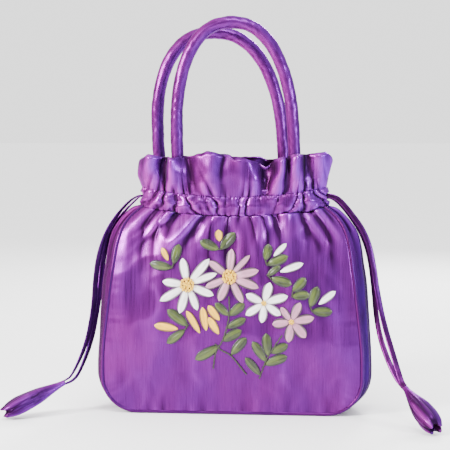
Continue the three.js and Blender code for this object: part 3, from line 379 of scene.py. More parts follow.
# Leaves with the stems that join them. A leaf is its place, turn, length and width.
SPRIGS = [
    {
        "name": "leaf_sprig_1", "stems": [[(-0.455, 0.706), (-0.44, 0.73)]],
        "leaves": [((-0.453, 0.709), 171, 1.06, 0.9), ((-0.442, 0.727), 74, 0.93, 0.9)],
    },
    {
        "name": "leaf_sprig_2", "stems": [[(-0.1, 0.797), (-0.075, 0.797)]],
        "leaves": [((-0.096, 0.797), 156, 0.94, 0.96), ((-0.08, 0.797), 50, 1, 1)],
    },
    {
        "name": "leaf_sprig_3", "stems": [[(0.26, 0.752), (0.275, 0.722)]],
        "leaves": [((0.262, 0.747), 78, 0.76, 0.9), ((0.272, 0.727), 22, 1.04, 0.94)],
    },
    {
        "name": "leaf_sprig_4", "stems": [[(0.275, 0.68), (0.308, 0.658)]],
        "leaves": [((0.278, 0.674), 38, 0.74, 0.7), ((0.305, 0.663), -16, 0.98, 0.96)],
    },
    {
        "name": "leaf_sprig_5", "stems": [[(0.471, 0.606), (0.464, 0.574)]],
        "leaves": [((0.47, 0.602), 46, 0.84, 0.94), ((0.465, 0.578), 5, 0.8, 0.94)],
    },
    {
        "name": "leaf_sprig_6", "stems": [[(0.601, 0.532), (0.62, 0.504)]],
        "leaves": [((0.604, 0.528), 71, 0.98, 1), ((0.617, 0.508), -2, 0.92, 0.96)],
    },
    {
        "name": "leaf_sprig_7", "stems": [[(-0.323, 0.438), (-0.356, 0.41)]],
        "leaves": [((-0.328, 0.432), 142, 1.2, 1), ((-0.352, 0.414), -142, 1.04, 0.86)],
    },
    {
        "name": "main_spray",
        "stems": [
            [(-0.012, 0.575), (-0.012, 0.48), (-0.055, 0.374), (-0.109, 0.312), (-0.133, 0.229)],
            [(-0.118, 0.349), (-0.069, 0.319), (0.008, 0.29), (0.121, 0.201)],
        ],
        "leaves": [
            ((-0.014, 0.485), 138, 0.84, 0.8), ((-0.01, 0.485), 39, 0.88, 0.96),
            ((-0.03, 0.425), 27, 0.98, 0.82), ((-0.062, 0.364), 29, 1, 0.96),
            ((0.006, 0.298), 49, 1.04, 0.94), ((-0.083, 0.34), -150, 1.3, 1),
        ],
    },
    {
        "name": "right_spray", "stems": [[(0.392, 0.395), (0.281, 0.285), (0.219, 0.183)]],
        "leaves": [
            ((0.288, 0.295), 96, 1.04, 0.96), ((0.27, 0.268), 124, 1.1, 0.9),
            ((0.305, 0.31), 26, 0.88, 0.9), ((0.262, 0.252), 21, 1.1, 0.96),
            ((0.226, 0.2), 130, 1.06, 0.8),
        ],
    },
]


# Small tools


def mix(start, end, share):
    return start + (end - start) * share


def clamp(value, low=0.0, high=1.0):
    return max(low, min(high, value))


def smooth_step(value, low, high):
    share = clamp((value - low) / (high - low))
    return share * share * (3 - 2 * share)


def even_steps(count):
    return [i / count for i in range(count + 1)]


def full_turn(count):
    """The angles of evenly spaced points round a circle."""
    return [2 * math.pi * i / count for i in range(count)]


def ripple(seed, *place):
    """Smooth noise from -1 to 1 at a place, a different one for each seed."""
    x, y = (*place, 0.0)[:2]
    return noise.noise(Vector((x, y, seed * NOISE_STEP)))


def ring_ripple(seed, share, turns, up=0.0):
    """The same noise round the neck, so that it meets itself at the middle of the back."""
    angle, reach = 2 * math.pi * share, turns / (2 * math.pi)
    return noise.noise(Vector((reach * math.cos(angle), reach * math.sin(angle), seed * NOISE_STEP + up)))


def read_table(rows, key, column, place):
    """The value of a column at a place, on a smooth line through the rows of a table."""
    last = len(rows) - 1
    row = 0
    while row < last - 1 and place > rows[row + 1][key]:
        row += 1

    def slope(i):
        before, after = rows[max(i - 1, 0)], rows[min(i + 1, last)]
        return (after[column] - before[column]) / (after[key] - before[key])

    start, end = rows[row], rows[row + 1]
    span = end[key] - start[key]
    t = clamp((place - start[key]) / span)
    return (
        (2 * t**3 - 3 * t**2 + 1) * start[column]
        + (t**3 - 2 * t**2 + t) * span * slope(row)
        + (3 * t**2 - 2 * t**3) * end[column]
        + (t**3 - t**2) * span * slope(row + 1)
    )


def slope_at(measure, bag, place):
    """How steeply a measure of the bag changes at a place."""
    return (measure(bag, place + PROBE) - measure(bag, place - PROBE)) / (2 * PROBE)


def points_along(line, shares):
    """The points at shares of the length of a line through many points, and that length."""
    run = [0.0]
    for a, b in zip(line, line[1:]):
        run.append(run[-1] + (b - a).length)
    found, step = [], 1
    for share in shares:
        place = run[-1] * share
        while step < len(run) - 1 and run[step] < place:
            step += 1
        part = (place - run[step - 1]) / (run[step] - run[step - 1])
        found.append(line[step - 1].lerp(line[step], part))
    return found, run[-1]


def deselect_all():
    bpy.ops.object.select_all(action="DESELECT")


def make_active(piece):
    deselect_all()
    piece.select_set(True)
    bpy.context.view_layer.objects.active = piece


def add_object(name, data):
    piece = bpy.data.objects.new(name, data)
    bpy.context.scene.collection.objects.link(piece)
    return piece


def mark_folds(mesh, rows, wrap, fold_reach):
    """Marks each point with how deep it lies between the cloth on both sides of it, 0.5 where the
    cloth is even, 1 in a valley and 0 on a crest, and with how far the cloth leans to the right."""
    columns = len(rows[0])
    depths, leans = [], []
    total = 0.0
    for r, row in enumerate(rows):
        above, below = rows[min(r + 1, len(rows) - 1)], rows[max(r - 1, 0)]
        spacing = max((row[1] - row[0]).length, 0.0001)
        reach = max(1, min(round(fold_reach / spacing), columns // 4))
        for c, point in enumerate(row):
            left, right = c - reach, c + reach
            if wrap:
                left, right = left % columns, right % columns
            else:
                left, right = max(left, 0), min(right, columns - 1)
            across = row[right] - row[left]
            normal = across.cross(above[c] - below[c]).normalized()
            total += normal.dot(point - BAG_INSIDE)
            depths.append(((row[left] + row[right]) / 2 - point).dot(normal))
            leans.append(normal.x)
    side = math.copysign(1, total)
    even = sum(depths) / len(depths)
    values = [clamp(0.5 + side * (depth - even) / FOLD_RANGE) for depth in depths]
    # The satin paints shade into the valleys and highlight onto the crests from this mark.
    mesh.attributes.new("Fold", "FLOAT", "POINT").data.foreach_set("value", values)
    values = [clamp(0.5 + side * lean / 2) for lean in leans]
    # The satin's shot tone follows this mark, a painted sheen.
    mesh.attributes.new("Lean", "FLOAT", "POINT").data.foreach_set("value", values)


def loft(name, rows, wrap=False, fold_reach=3 * MILLIMETRE):
    """A one-layer piece through rows of points, with a UV map in metres along and across them."""
    columns = len(rows[0])
    spans = columns if wrap else columns - 1
    middle = len(rows) // 2
    along, across = [0.0], [0.0]
    for below, above in zip(rows, rows[1:]):
        along.append(along[-1] + (above[columns // 2] - below[columns // 2]).length)
    for column in range(spans):
        step = rows[middle][(column + 1) % columns] - rows[middle][column]
        across.append(across[-1] + step.length)
    faces, corners = [], []
    for r in range(len(rows) - 1):
        for c in range(spans):
            n = (c + 1) % columns
            faces.append((r * columns + c, r * columns + n, (r + 1) * columns + n, (r + 1) * columns + c))
            corners += [
                across[c], along[r], across[c + 1], along[r],
                across[c + 1], along[r + 1], across[c], along[r + 1],
            ]
    mesh = bpy.data.meshes.new(name)
    mesh.from_pydata([point for row in rows for point in row], [], faces)
    mesh.uv_layers.new(name="Cloth").data.foreach_set("uv", corners)
    mark_folds(mesh, rows, wrap, fold_reach)
    mesh.polygons.foreach_set("use_smooth", [True] * len(mesh.polygons))
    mesh.update()
    return add_object(name, mesh)


def thicken(piece, wall, offset=0):
    """Gives a one-layer piece its wall, half of it to each side, or all behind if offset is -1."""
    make_active(piece)
    solidify = piece.modifiers.new("Wall", "SOLIDIFY")
    solidify.thickness = wall
    solidify.offset = offset
    bpy.ops.object.modifier_apply(modifier=solidify.name)
    return piece


def join_pieces(name, pieces):
    make_active(pieces[0])
    for piece in pieces:
        piece.select_set(True)
    bpy.ops.object.join()
    joined = bpy.context.object
    joined.name = name
    return joined


def remove_piece(piece):
    mesh = piece.data
    bpy.data.objects.remove(piece)
    bpy.data.meshes.remove(mesh)


def close_ends(piece):
    shell = bmesh.new()
    shell.from_mesh(piece.data)
    bmesh.ops.holes_fill(shell, edges=[e for e in shell.edges if e.is_boundary])
    bmesh.ops.recalc_face_normals(shell, faces=shell.faces)
    shell.to_mesh(piece.data)
    shell.free()
    return piece


def tube(name, path, section):
    """A closed piece along a path: section(i) gives the ring round the path's point i, as pairs of
    distances across and up from it."""
    tangents = [
        (path[min(i + 1, len(path) - 1)] - path[max(i - 1, 0)]).normalized() for i in range(len(path))
    ]
    across = Vector((0, 1, 0))
    across = (across - tangents[0] * across.dot(tangents[0])).normalized()
    rows = []
    for i, (point, tangent) in enumerate(zip(path, tangents)):
        across = (across - tangent * across.dot(tangent)).normalized()
        up = tangent.cross(across)
        rows.append([point + across * a + up * b for a, b in section(i)])
    return close_ends(loft(name, rows, wrap=True))


def finish_piece(piece, node, material, ending="_satin"):
    """Names a piece, gives it its material, and has it stand for a CAD node on the one body."""
    piece.name = node + ending
    piece.data.materials.clear()
    piece.data.materials.append(material_named(material))
    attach(piece, ROOT)
    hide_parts(node)
    return piece


def smooth_path(points, count):
    """Evenly spaced points on the smooth line through given ones, and its length."""
    ends = [points[0] * 2 - points[1], *points, points[-1] * 2 - points[-2]]
    dense = []
    for a, b, c, d in zip(ends, ends[1:], ends[2:], ends[3:]):
        for step in range(PATH_STEPS):
            t = step / PATH_STEPS
            curve = (2 * a - 5 * b + 4 * c - d) * t**2 + (3 * b - a - 3 * c + d) * t**3
            dense.append((2 * b + (c - a) * t + curve) / 2)
    dense.append(points[-1])
    return points_along(dense, even_steps(count - 1))


# The body's shape


def body_at(bag, column, height):
    return read_table(BODY_SECTIONS, "height", column, height / bag.body_height)


def half_seam(bag, height):
    return mix(bag.panel_width, bag.neck_seam_width, body_at(bag, "drawn", height)) / 2


def seam_depth(bag, height):
    return mix(bag.body_depth, bag.neck_seam_depth, body_at(bag, "closed", height)) / 2


def middle_depth(bag, height):
    drawn_in = mix(bag.body_depth, bag.neck_depth, body_at(bag, "closed", height)) / 2
    return drawn_in + bag.panel_crown * body_at(bag, "crown", height)


def casing_base(bag, x):
    return bag.body_height - bag.neck_sag * (1 - (2 * x / bag.neck_width) ** 2)


def casing_top(bag, x):
    return casing_base(bag, x) + bag.casing_height


def seam_inset(bag):
    return bag.piping_diameter / 2 + bag.stitch_gap


def edge_inset(bag):
    """How far the cloth's edge, tucked just under the piping, lies from the seam line."""
    return bag.piping_diameter * 0.4


def fold_relief(bag, folds, x, z):
    """How far the folds of a panel stand out at a place on it."""
    across, up = 2 * x / bag.panel_width, z / bag.body_height
    relief = 0.0
    for fold in folds:
        (top_x, top_z), (foot_x, foot_z) = fold["top"], fold["foot"]
        t = clamp((top_z - up) / (top_z - foot_z))
        if t >= 1:
            continue
        width = fold["wide"] * mix(0.7, 1.5, t) * bag.fold_width / bag.panel_width * 2
        away = abs(across - mix(top_x, foot_x, t)) / width
        relief += fold["out"] * (1 - t) ** 1.2 * math.exp(-(away ** fold["crease"]))
    return relief * bag.fold_depth


def ridge(place):
    """Rounded ridges with sharp valleys between them, one to each whole number."""
    return abs(math.sin(math.pi * place)) ** 0.75 - 0.6


def gather_relief(bag, x, z, seed):
    """The fine gathers that fan out below the casing."""
    below = max(casing_base(bag, x) - z, 0)
    if below > 0.07:
        return 0.0
    top_x = x * bag.neck_width / 2 / max(half_seam(bag, z), bag.neck_seam_width / 2)
    spacing = bag.neck_width * 1.9 / bag.puckers
    drift = 0.9 * ripple(seed, top_x * 36) + below * 46 * ripple(seed + 2, top_x * 30)
    place = top_x / spacing + drift
    reach = 0.014 + 0.02 * (ripple(seed + 3, top_x * 120) + 0.35)
    depth = 2.4 + 1.8 * ripple(seed + 9, top_x * 60)
    return depth * MILLIMETRE * ridge(place) * math.exp(-below / max(reach, 0.007))


def soft_relief(bag, x, z, seed):
    """Soft waves in the cloth, stronger towards the neck."""
    up = smooth_step(z / bag.body_height, 0.35, 0.95)
    wide_wave = ripple(seed, x * 42, z * 26)
    long_wave = ripple(seed + 1, x * 120, z * 22)
    crumple = 0.3 - abs(ripple(seed + 3, x * 52 + z * 14, z * 40 - x * 18))
    waves = (1.2 + 1.5 * up) * wide_wave + 0.5 * up * long_wave + (0.6 + 1.2 * up) * crumple
    return waves * MILLIMETRE


def seam_relief(bag, x, z, seed):
    """Little puckers that the stitching draws into a panel's edge."""
    side = half_seam(bag, z) - abs(x)
    floor = z - seam_inset(bag)
    corner = bag.corner_radius
    from_seam = min(side, floor)
    place = z if side < floor else x
    if side < corner and floor < corner:
        centre = Vector((corner - side, corner - floor))
        from_seam = corner - centre.length
        place = math.atan2(centre.y, centre.x) * corner
    wave = ripple(seed, place * 210) + 0.5 * ripple(seed + 5, place * 90)
    return 0.55 * MILLIMETRE * wave * math.exp(-max(from_seam, 0) / 0.0065)


def panel_depth(bag, folds, seed, x, z):
    """Depth of a panel's surface at a place on it."""
    edge = seam_depth(bag, z)
    across = min(abs(x) / half_seam(bag, z), 1)
    bulge = (middle_depth(bag, z) - edge) * (1 - across**2.6)
    near_seam = min(1, (1 - across) * 6)
    relief = fold_relief(bag, folds, x, z) + gather_relief(bag, x, z, seed) + soft_relief(bag, x, z, seed)
    return edge + bulge + relief * near_seam + seam_relief(bag, x, z, seed) * min(1, near_seam * 3)


def seam_stations(bag):
    """Points along the right half of the seam, from the middle of the bottom up to the neck, each
    with the direction away from the panel, and how far it has turned up from the flat bottom."""
    straight = bag.panel_width / 2 - bag.corner_radius
    floor = seam_inset(bag)
    stations = [(straight * i / FLOOR_STATIONS, floor, 0.0, -1.0, 0.0) for i in range(FLOOR_STATIONS)]
    for share in even_steps(CORNER_STATIONS):
        turn = math.pi / 2 * share
        s, c = math.sin(turn), math.cos(turn)
        stations.append((straight + bag.corner_radius * s, floor + bag.corner_radius * (1 - c), s, -c, s))
    low, high = floor + bag.corner_radius, casing_base(bag, bag.neck_seam_width / 2) - bag.stitch_gap
    for share in even_steps(SIDE_STATIONS)[1:]:
        height = mix(low, high, share)
        level = smooth_step(height / bag.body_height, 0.95, 1)
        slope = slope_at(half_seam, bag, height) * (1 - level)
        length = math.hypot(slope, 1)
        stations.append((half_seam(bag, height), height, 1 / length, -slope / length, 1.0))
    return stations


def whole_seam(bag):
    right = seam_stations(bag)
    left = [(-x, z, -out_x, out_z, rise) for x, z, out_x, out_z, rise in right[1:]]
    return left[::-1] + right


def build_panel(bag, name, side, folds, seed):
    """A panel row by row from the floor up, its upper rows sagging with the casing's lower edge."""
    rows = []
    stations = seam_stations(bag)[FLOOR_STATIONS:]
    top_x, top_z = stations[-1][:2]
    for x, z, out_x, out_z, _ in stations:
        half_width = x - edge_inset(bag) * out_x
        height = z - edge_inset(bag) * out_z
        row = []
        for share in even_steps(PANEL_COLUMNS):
            place = -side * (2 * share - 1) * half_width
            sag = max(casing_base(bag, top_x) - casing_base(bag, place), 0)
            up = height - sag * (height / top_z) ** 6
            row.append(Vector((place, side * panel_depth(bag, folds, seed, place, up), up)))
        rows.append(row)
    panel = loft(name, rows, fold_reach=5 * MILLIMETRE)
    weave = panel.data.uv_layers["Cloth"].data
    for loop in panel.data.loops:
        point = panel.data.vertices[loop.vertex_index].co
        weave[loop.index].uv = (point.x, point.z)
    return thicken(panel, bag.cloth_wall)


def build_gusset(bag):
    """The side strip: flat under the bag, swelling between the seams and pleated up the sides."""
    flat = seam_inset(bag) - bag.cloth_wall / 2
    rows = []
    for x, z, out_x, out_z, rise in whole_seam(bag):
        half_depth = seam_depth(bag, z) - edge_inset(bag)
        swell = bag.gusset_swell * body_at(bag, "swell", z)
        up = smooth_step(z / bag.body_height, 0.55, 1)
        right = x > 0
        row = []
        for part in even_steps(GUSSET_COLUMNS):
            share = 2 * part - 1
            y = share * half_depth
            inside = 1 - share**4
            wave = ripple(31 + right, y * 130 * mix(1, 1.9, up), z * 22) * mix(0.35, 1.5, up)
            wave += ripple(37, y * 60, (z + abs(x)) * 60) * 0.4
            pleat = math.cos(math.pi * 4 * share + 3 * ripple(33 + right, z * 14)) * (0.3 + 0.8 * up**2)
            pucker = ripple(41, (z + x) * 210) * 0.6 * (math.exp((abs(share) - 1) * 9) - 0.02)
            side_out = swell * (1 - share**2) + (wave + 1.1 * pleat + pucker) * inside * MILLIMETRE
            out = mix(flat, side_out, rise)
            height = max(z + out_z * out, bag.cloth_wall / 2)
            row.append(Vector((x + out_x * out, y, height)))
        rows.append(row)
    return thicken(loft("gusset", rows), bag.cloth_wall)


def build_piping(bag, name, side, seed):
    radius = bag.piping_diameter / 2
    path = [Vector((x, side * seam_depth(bag, z), z)) for x, z, *_ in whole_seam(bag)]
    path, length = smooth_path(path, PIPING_RINGS)

    def section(i):
        place = length * i / (len(path) - 1)
        ring = []
        for turn in full_turn(PIPING_SIDES):
            size = radius * (0.95 + ripple(seed, place * 260 + turn * 0.6, turn) * 0.06)
            ring.append((size * math.cos(turn), size * math.sin(turn)))
        return ring

    return tube(name, path, section)


# The gathered neck


def squared(value, power):
    """A sine or cosine, changed so that its circle becomes a rounded square of that power."""
    return math.copysign(abs(value) ** (2 / power), value)


def neck_ring(bag, count):
    """Points at even steps round the neck, from the middle of the back through the left side and
    the front, each with its outward direction and its share from -0.5 to 0.5."""
    dense = []
    for i in range(NECK_SAMPLES + 1):
        turn = math.pi * 2 * i / NECK_SAMPLES + math.pi / 2
        c, s = squared(math.cos(turn), NECK_POWER), squared(math.sin(turn), NECK_POWER)
        dense.append(Vector((c * bag.neck_width / 2, s * bag.neck_depth / 2)))
    points, _ = points_along(dense, even_steps(count)[:-1])
    ring = []
    for i, point in enumerate(points):
        out = Vector((
            math.copysign(abs(2 * point.x / bag.neck_width) ** (NECK_POWER - 1) / bag.neck_width, point.x),
            math.copysign(abs(2 * point.y / bag.neck_depth) ** (NECK_POWER - 1) / bag.neck_depth, point.y),
        )).normalized()
        ring.append((point, out, i / count - 0.5))
    return ring


def pucker_at(bag, share):
    """The neck's gathers round the ring, shared by the casing and the foot of the ruffle."""
    height = 0.8 + 0.8 * ring_ripple(53, share, 20)
    drift = 0.95 * ring_ripple(51, share, 26) + 1.1 * ring_ripple(52, share, 11)
    return height * ridge(share * bag.puckers + drift)


def pucker_twist(share, up):
    """How far the gathers of the casing lean over on their way up."""
    return 0.12 * (up - 0.5) * ring_ripple(57, share, 18)


def stitch_pleats(bag, share, away):
    """Small pleats that the stitching draws up, at a distance from it as a share of the casing."""
    place = share * bag.puckers * 3 + 1.5 * ring_ripple(50, share, 64)
    return (0.9 + 0.9 * ring_ripple(49, share, 40)) * ridge(place) * math.exp(-away * 6)


def slot_dent(bag, y, up):
    """How far the ends of the casing open round the drawstring, from 0 to 1."""
    height = (up - 0.5) * bag.casing_height
    inside = max(abs(y) / (bag.slot_width / 2), abs(height) / (bag.slot_height / 2))
    return 1 - smooth_step(inside, 0.75, 1.1)


def neck_layer(bag, name, columns, levels, spot):
    """A layer of cloth round the neck. For a level and a point of the ring, spot gives how far the
    cloth stands out from the ring there, and its height."""
    ring = neck_ring(bag, columns)
    rows = []
    for up in levels:
        row = []
        for point, out, share in ring:
            reach, height = spot(up, point, share)
            place = point + out * reach
            row.append(Vector((place.x, place.y, height)))
        rows.append(row)
    return thicken(loft(name, rows, wrap=True), bag.cloth_wall)


def build_casing(bag):
    """The puckered outer layer, and the plain inner one that lines it."""

    def outer_spot(up, point, share):
        fullest = 1 + 0.9 * ring_ripple(59, share, 34)
        roll = math.sin(math.pi * clamp(up) ** fullest) ** 0.7
        twist = pucker_twist(share, up) + 0.01 * ring_ripple(58, share, 24, up * 2.2)
        pucker = pucker_at(bag, share + twist)
        crumple = ring_ripple(55, share, 52, up * 2.2) + ring_ripple(56, share, 30, up * 3)
        relief = (2.7 * pucker + 1.1 * crumple) * (0.35 + 0.65 * roll)
        relief += stitch_pleats(bag, share, up) + stitch_pleats(bag, share, 1 - up)
        reach = bag.casing_puff * (0.2 + 0.7 * roll) + relief * MILLIMETRE
        if abs(point.x) > bag.neck_width * CASING_END:
            reach -= slot_dent(bag, point.y, up) * (bag.casing_puff + 0.9 * MILLIMETRE)
        droop = max(0.7 + 1.5 * ring_ripple(54, share, 38), 0) * (1 - up) ** 3 * MILLIMETRE
        return reach, casing_base(bag, point.x) + up * bag.casing_height - droop

    def inner_spot(up, point, share):
        inset = (LINING_INSET + 0.3 * ring_ripple(60, share, 40, up * 2)) * MILLIMETRE
        return -inset, casing_base(bag, point.x) + up * bag.casing_height

    outer = neck_layer(bag, "casing", CASING_COLUMNS, even_steps(CASING_LEVELS), outer_spot)
    levels = [mix(*LINING_REACH, share) for share in even_steps(LINING_LEVELS)]
    inner = neck_layer(bag, "casing_lining", LINING_COLUMNS, levels, inner_spot)
    return join_pieces("casing", [outer, inner])


def ruffle_at(column, share):
    """A column of the ruffle's folds at a share of the ring, eased from one row to the next."""
    following = next((i for i, row in enumerate(RUFFLE_FOLDS) if row["at"] > share), len(RUFFLE_FOLDS))
    start = RUFFLE_FOLDS[following - 1]
    end = RUFFLE_FOLDS[following % len(RUFFLE_FOLDS)]
    gap = (end["at"] - start["at"]) % 1
    t = (share - start["at"]) / gap
    return mix(start[column], end[column], (1 - math.cos(math.pi * t)) / 2)


def build_ruffle(bag):
    """The frill, gathered at its foot and in larger folds above."""

    def spot(up, point, share):
        lean = 0.012 * up * math.sin(14 * math.pi * share) + 0.006 * ring_ripple(65, share, 30, up * 2)
        fold = ruffle_at("out", (share + lean + 0.5) % 1 - 0.5) * (0.12 + 0.88 * up**0.6)
        pucker = pucker_at(bag, share + pucker_twist(share, 1 + up))
        gather = (1.0 + 1.9 * smooth_step(up, 0, 0.1)) * pucker * math.exp(-up * 2.6)
        gather += stitch_pleats(bag, share, up * 2)
        crease = ring_ripple(63, share, 40, up * 1.2) * 1.4 + ring_ripple(64, share, 20, up * 1.8) * 1.6
        reach = 1.6 * bag.ruffle_fold * fold + bag.ruffle_flare * math.sin(up * math.pi * 0.75)
        reach += (gather + crease * smooth_step(up, 0.05, 0.4)) * MILLIMETRE
        roll = 1 - 0.4 * smooth_step(up, 0.93, 1)
        base = casing_top(bag, point.x) - bag.stitch_gap
        top = casing_top(bag, 0) + bag.ruffle_height * ruffle_at("top", share)
        top += ring_ripple(61, share, 60) * 1.2 * MILLIMETRE
        return reach * roll - bag.cloth_wall / 4, mix(base, top, up)

    return neck_layer(bag, "ruffle", RUFFLE_COLUMNS, even_steps(RUFFLE_LEVELS), spot)


# The handles


def ring_depth(bag, x):
    return bag.neck_depth / 2 * (1 - abs(2 * x / bag.neck_width) ** NECK_POWER) ** (1 / NECK_POWER)


def foot_depth(bag, x):
    """Depth of the middle of a foot that is sewn to the casing's inner face there."""
    clear = bag.casing_puff / 2 + bag.stitch_gap + bag.handle_diameter / 2
    return ring_depth(bag, x) - clear * math.hypot(slope_at(ring_depth, bag, x), 1)


def handle_path(bag, side, width, rise, middle, lean):
    """Up one leg, over the arch and down the other. middle is where the handle stands across the
    bag, and lean how far its top swings from there."""
    foot, top = bag.body_height - bag.handle_seat, bag.body_height + rise
    spring = foot + bag.handle_leg
    left, right = (foot_depth(bag, middle + end * width / 2) for end in (-1, 1))
    points = []

    def add_point(x, z):
        swing = lean * (z - foot) / (top - foot)
        inward = bag.handle_room * smooth_step(z, foot, foot + bag.casing_height)
        depth = mix(left, right, x / width + 0.5) - inward
        points.append(Vector((middle + x + swing, side * depth, z)))

    for share in (0, 1 / 3, 2 / 3):
        add_point(-width / 2, mix(foot, spring, share))
    for share in even_steps(14):
        turn = math.pi * (1 - share)
        x = squared(math.cos(turn), ARCH_POWER) * width / 2
        add_point(x, spring + (top - spring) * abs(math.sin(turn)) ** (2 / ARCH_POWER))
    for share in (2 / 3, 1 / 3, 0):
        add_point(width / 2, mix(foot, spring, share))
    return smooth_path(points, HANDLE_RINGS)


def build_handle(bag, name, seed, *shape):
    path, length = handle_path(bag, *shape)
    radius = bag.handle_diameter / 2

    def section(i):
        place = length * i / (len(path) - 1)
        ring = []
        for turn in full_turn(HANDLE_SIDES):
            cx, cy = math.cos(turn), math.sin(turn)
            dent = noise.noise(Vector((cx * 0.9, cy * 0.9 + place * 55, seed))) * 0.05
            crease = abs(noise.noise(Vector((cx * 1.3 + place * 130, cy * 1.3, seed + 4)))) ** 0.7 * -0.09
            seam = -0.07 * math.exp(-(((turn - math.pi * 1.5) / 0.13) ** 2))
            size = radius * (1.0 + dent + crease + seam)
            ring.append((size * cx, size * cy))
        return ring

    return tube(name, path, section)


# The drawstring and its tassels


def build_strand(bag, strand, seed):
    points = [Vector(point) for point in strand["points"]]
    path, length = smooth_path(points, STRAND_RINGS)
    half_width, half_thick = bag.cord_width / 2, bag.cord_thickness / 2

    def section(i):
        share = i / (len(path) - 1)
        turn = math.radians(strand["turn"] + strand["curl"] * math.sin(share * math.pi))
        turn += 0.12 * ripple(seed, share * 12)
        thick = half_thick * (1 + 0.22 * ripple(seed + 1, share * 26))
        ring = []
        for around in full_turn(STRAND_SIDES):
            a = half_width * math.copysign(abs(math.cos(around)) ** 0.8, math.cos(around))
            b = thick * math.sin(around) * (0.86 + 0.14 * math.cos(2 * around) * math.cos(around))
            b *= 1 + 0.07 * ripple(seed + 2, share * 90, around * 0.8)
            ring.append((a * math.cos(turn) - b * math.sin(turn), a * math.sin(turn) + b * math.cos(turn)))
        return ring

    return tube(strand["name"], path, section), path, length


def build_tassel(bag, name, neck, tip, seed):
    """A bud of folded satin: petals that lap each other and part at the tip."""
    start = Vector(neck)
    axis = Vector(tip) - start
    length = axis.length
    axis.normalize()
    across = Vector((0, 0, 1)).cross(axis).normalized()
    up = axis.cross(across)
    rows = []
    for share in even_steps(TASSEL_LEVELS):
        wide = read_table(TASSEL_SECTIONS, "along", "wide", share)
        dish = read_table(TASSEL_SECTIONS, "along", "dish", share)
        row = []
        for turn in full_turn(TASSEL_SIDES):
            lap = (TASSEL_PETALS * turn / (2 * math.pi) + 0.35 * share) % 1
            petal = 0.5 + 0.5 * math.cos(TASSEL_PETALS * turn + 2.2 * share)
            step_in = 0.1 * smooth_step(lap, 0.0, 1.0) - 0.1 * smooth_step(lap, 0.9, 1.0)
            crease = 0.04 * ripple(seed, turn * 3, share * 5) + 0.03 * math.cos(turn * 13 + share * 4)
            size = wide * (0.88 + 0.08 * petal + (step_in + crease) * smooth_step(share, 0.1, 0.5))
            spot = start + axis * (length * (share - dish * (1 - petal)))
            spot += across * (math.cos(turn) * size * bag.tassel_width / 2)
            spot += up * (math.sin(turn) * size * bag.tassel_thickness / 2)
            row.append(spot)
        rows.append(row)
    last = rows[-1]
    middle = sum(last, Vector()) / len(last)
    for inward, size in ((0.02, 0.72), (0.06, 0.55), (0.09, 0.3), (0.1, 0.06)):
        rows.append([middle + (point - middle) * size - axis * (length * inward) for point in last])
    return close_ends(loft(name, rows, wrap=True))


# The embroidery


def panel_place(bag, shares):
    """A place on the front panel, from shares of half its width and of the body's height."""
    return shares[0] * (bag.panel_width / 2), shares[1] * bag.body_height


def front_surface(bag, x, z):
    """The face of the front panel at a place on it."""
    return -(panel_depth(bag, ALL_FRONT_FOLDS, FRONT_SEED, x, z) + bag.cloth_wall / 2)


# A ribbon stitch along its length: wide is a share of the ribbon's width, and high of its rise.
STITCH_ROWS = table(
    "along wide high",
    (0, 0.2, 0.05), (0.1, 0.6, 0.5), (0.25, 1, 0.85), (0.45, 1.2, 1), (0.62, 1.24, 0.95),
    (0.78, 1.1, 0.85), (0.9, 0.74, 0.65), (1, 0.04, 0.1),
)


def stitch_width(along):
    return max(read_table(STITCH_ROWS, "along", "wide", along), NARROWEST_STITCH)


def master_stitch():
    """One ribbon stitch, a metre long and wide along X and Y, that the others are copied from."""
    deselect_all()
    bpy.ops.mesh.primitive_grid_add(
        x_subdivisions=STITCH_STEPS, y_subdivisions=STITCH_LANES, size=1, location=(0.5, 0, 0)
    )
    stitch = bpy.context.object
    bpy.ops.object.transform_apply(location=True, rotation=False, scale=False)
    bpy.ops.object.mode_set(mode="EDIT")
    for along in even_steps(STITCH_STEPS):
        wide = stitch_width(along)
        high = read_table(STITCH_ROWS, "along", "high", along)
        bpy.ops.mesh.select_all(action="DESELECT")
        shell = bmesh.from_edit_mesh(stitch.data)
        for vertex in shell.verts:
            vertex.select_set(abs(vertex.co.x - along) < 0.2 / STITCH_STEPS)
        shell.select_flush_mode()
        bmesh.update_edit_mesh(stitch.data)
        bpy.ops.transform.resize(value=(1, wide, 1), center_override=(along, 0, 0))
        bpy.ops.transform.translate(value=(0, 0, high))
    bpy.ops.object.mode_set(mode="OBJECT")
    return stitch


def place_stitch(bag, master, place, turn, length, width, seed, lift=0.0):
    """A copy of the master stitch, laid on the front panel and creased in its own way."""
    x, z = place
    stitch = add_object("stitch", master.data.copy())
    angle = math.radians(turn)
    dx, dz = math.cos(angle), math.sin(angle)
    bend = 0.09 * ripple(seed, 3.3)
    crest = 0.28 * ripple(seed, 7.7)
    twist = 0.9 * ripple(seed, 9.1)
    for vertex in stitch.data.vertices:
        along, side, high = vertex.co
        middle = math.sin(math.pi * along)
        lane = clamp(side / (stitch_width(clamp(along)) / 2), -1, 1)
        arch = 1 - abs(lane - crest * middle) ** 1.7
        pleat = 0.22 * math.cos(lane * 8 + seed * 2) * middle
        tilt = twist * lane * middle * 0.3
        height = bag.ribbon_lift + lift
        height += bag.ribbon_rise * max(high * (0.35 + 0.65 * arch + pleat + tilt), 0.0)
        off = (side + bend * middle) * width
        px, pz = x + dx * along * length - dz * off, z + dz * along * length + dx * off
        vertex.co = (px, front_surface(bag, px, pz) - height, pz)
    return stitch


def finish_ribbon(piece, node, material):
    thicken(piece, RIBBON_WALL, offset=-1)
    bpy.ops.object.shade_smooth()
    return finish_piece(piece, node, material, "_ribbon")


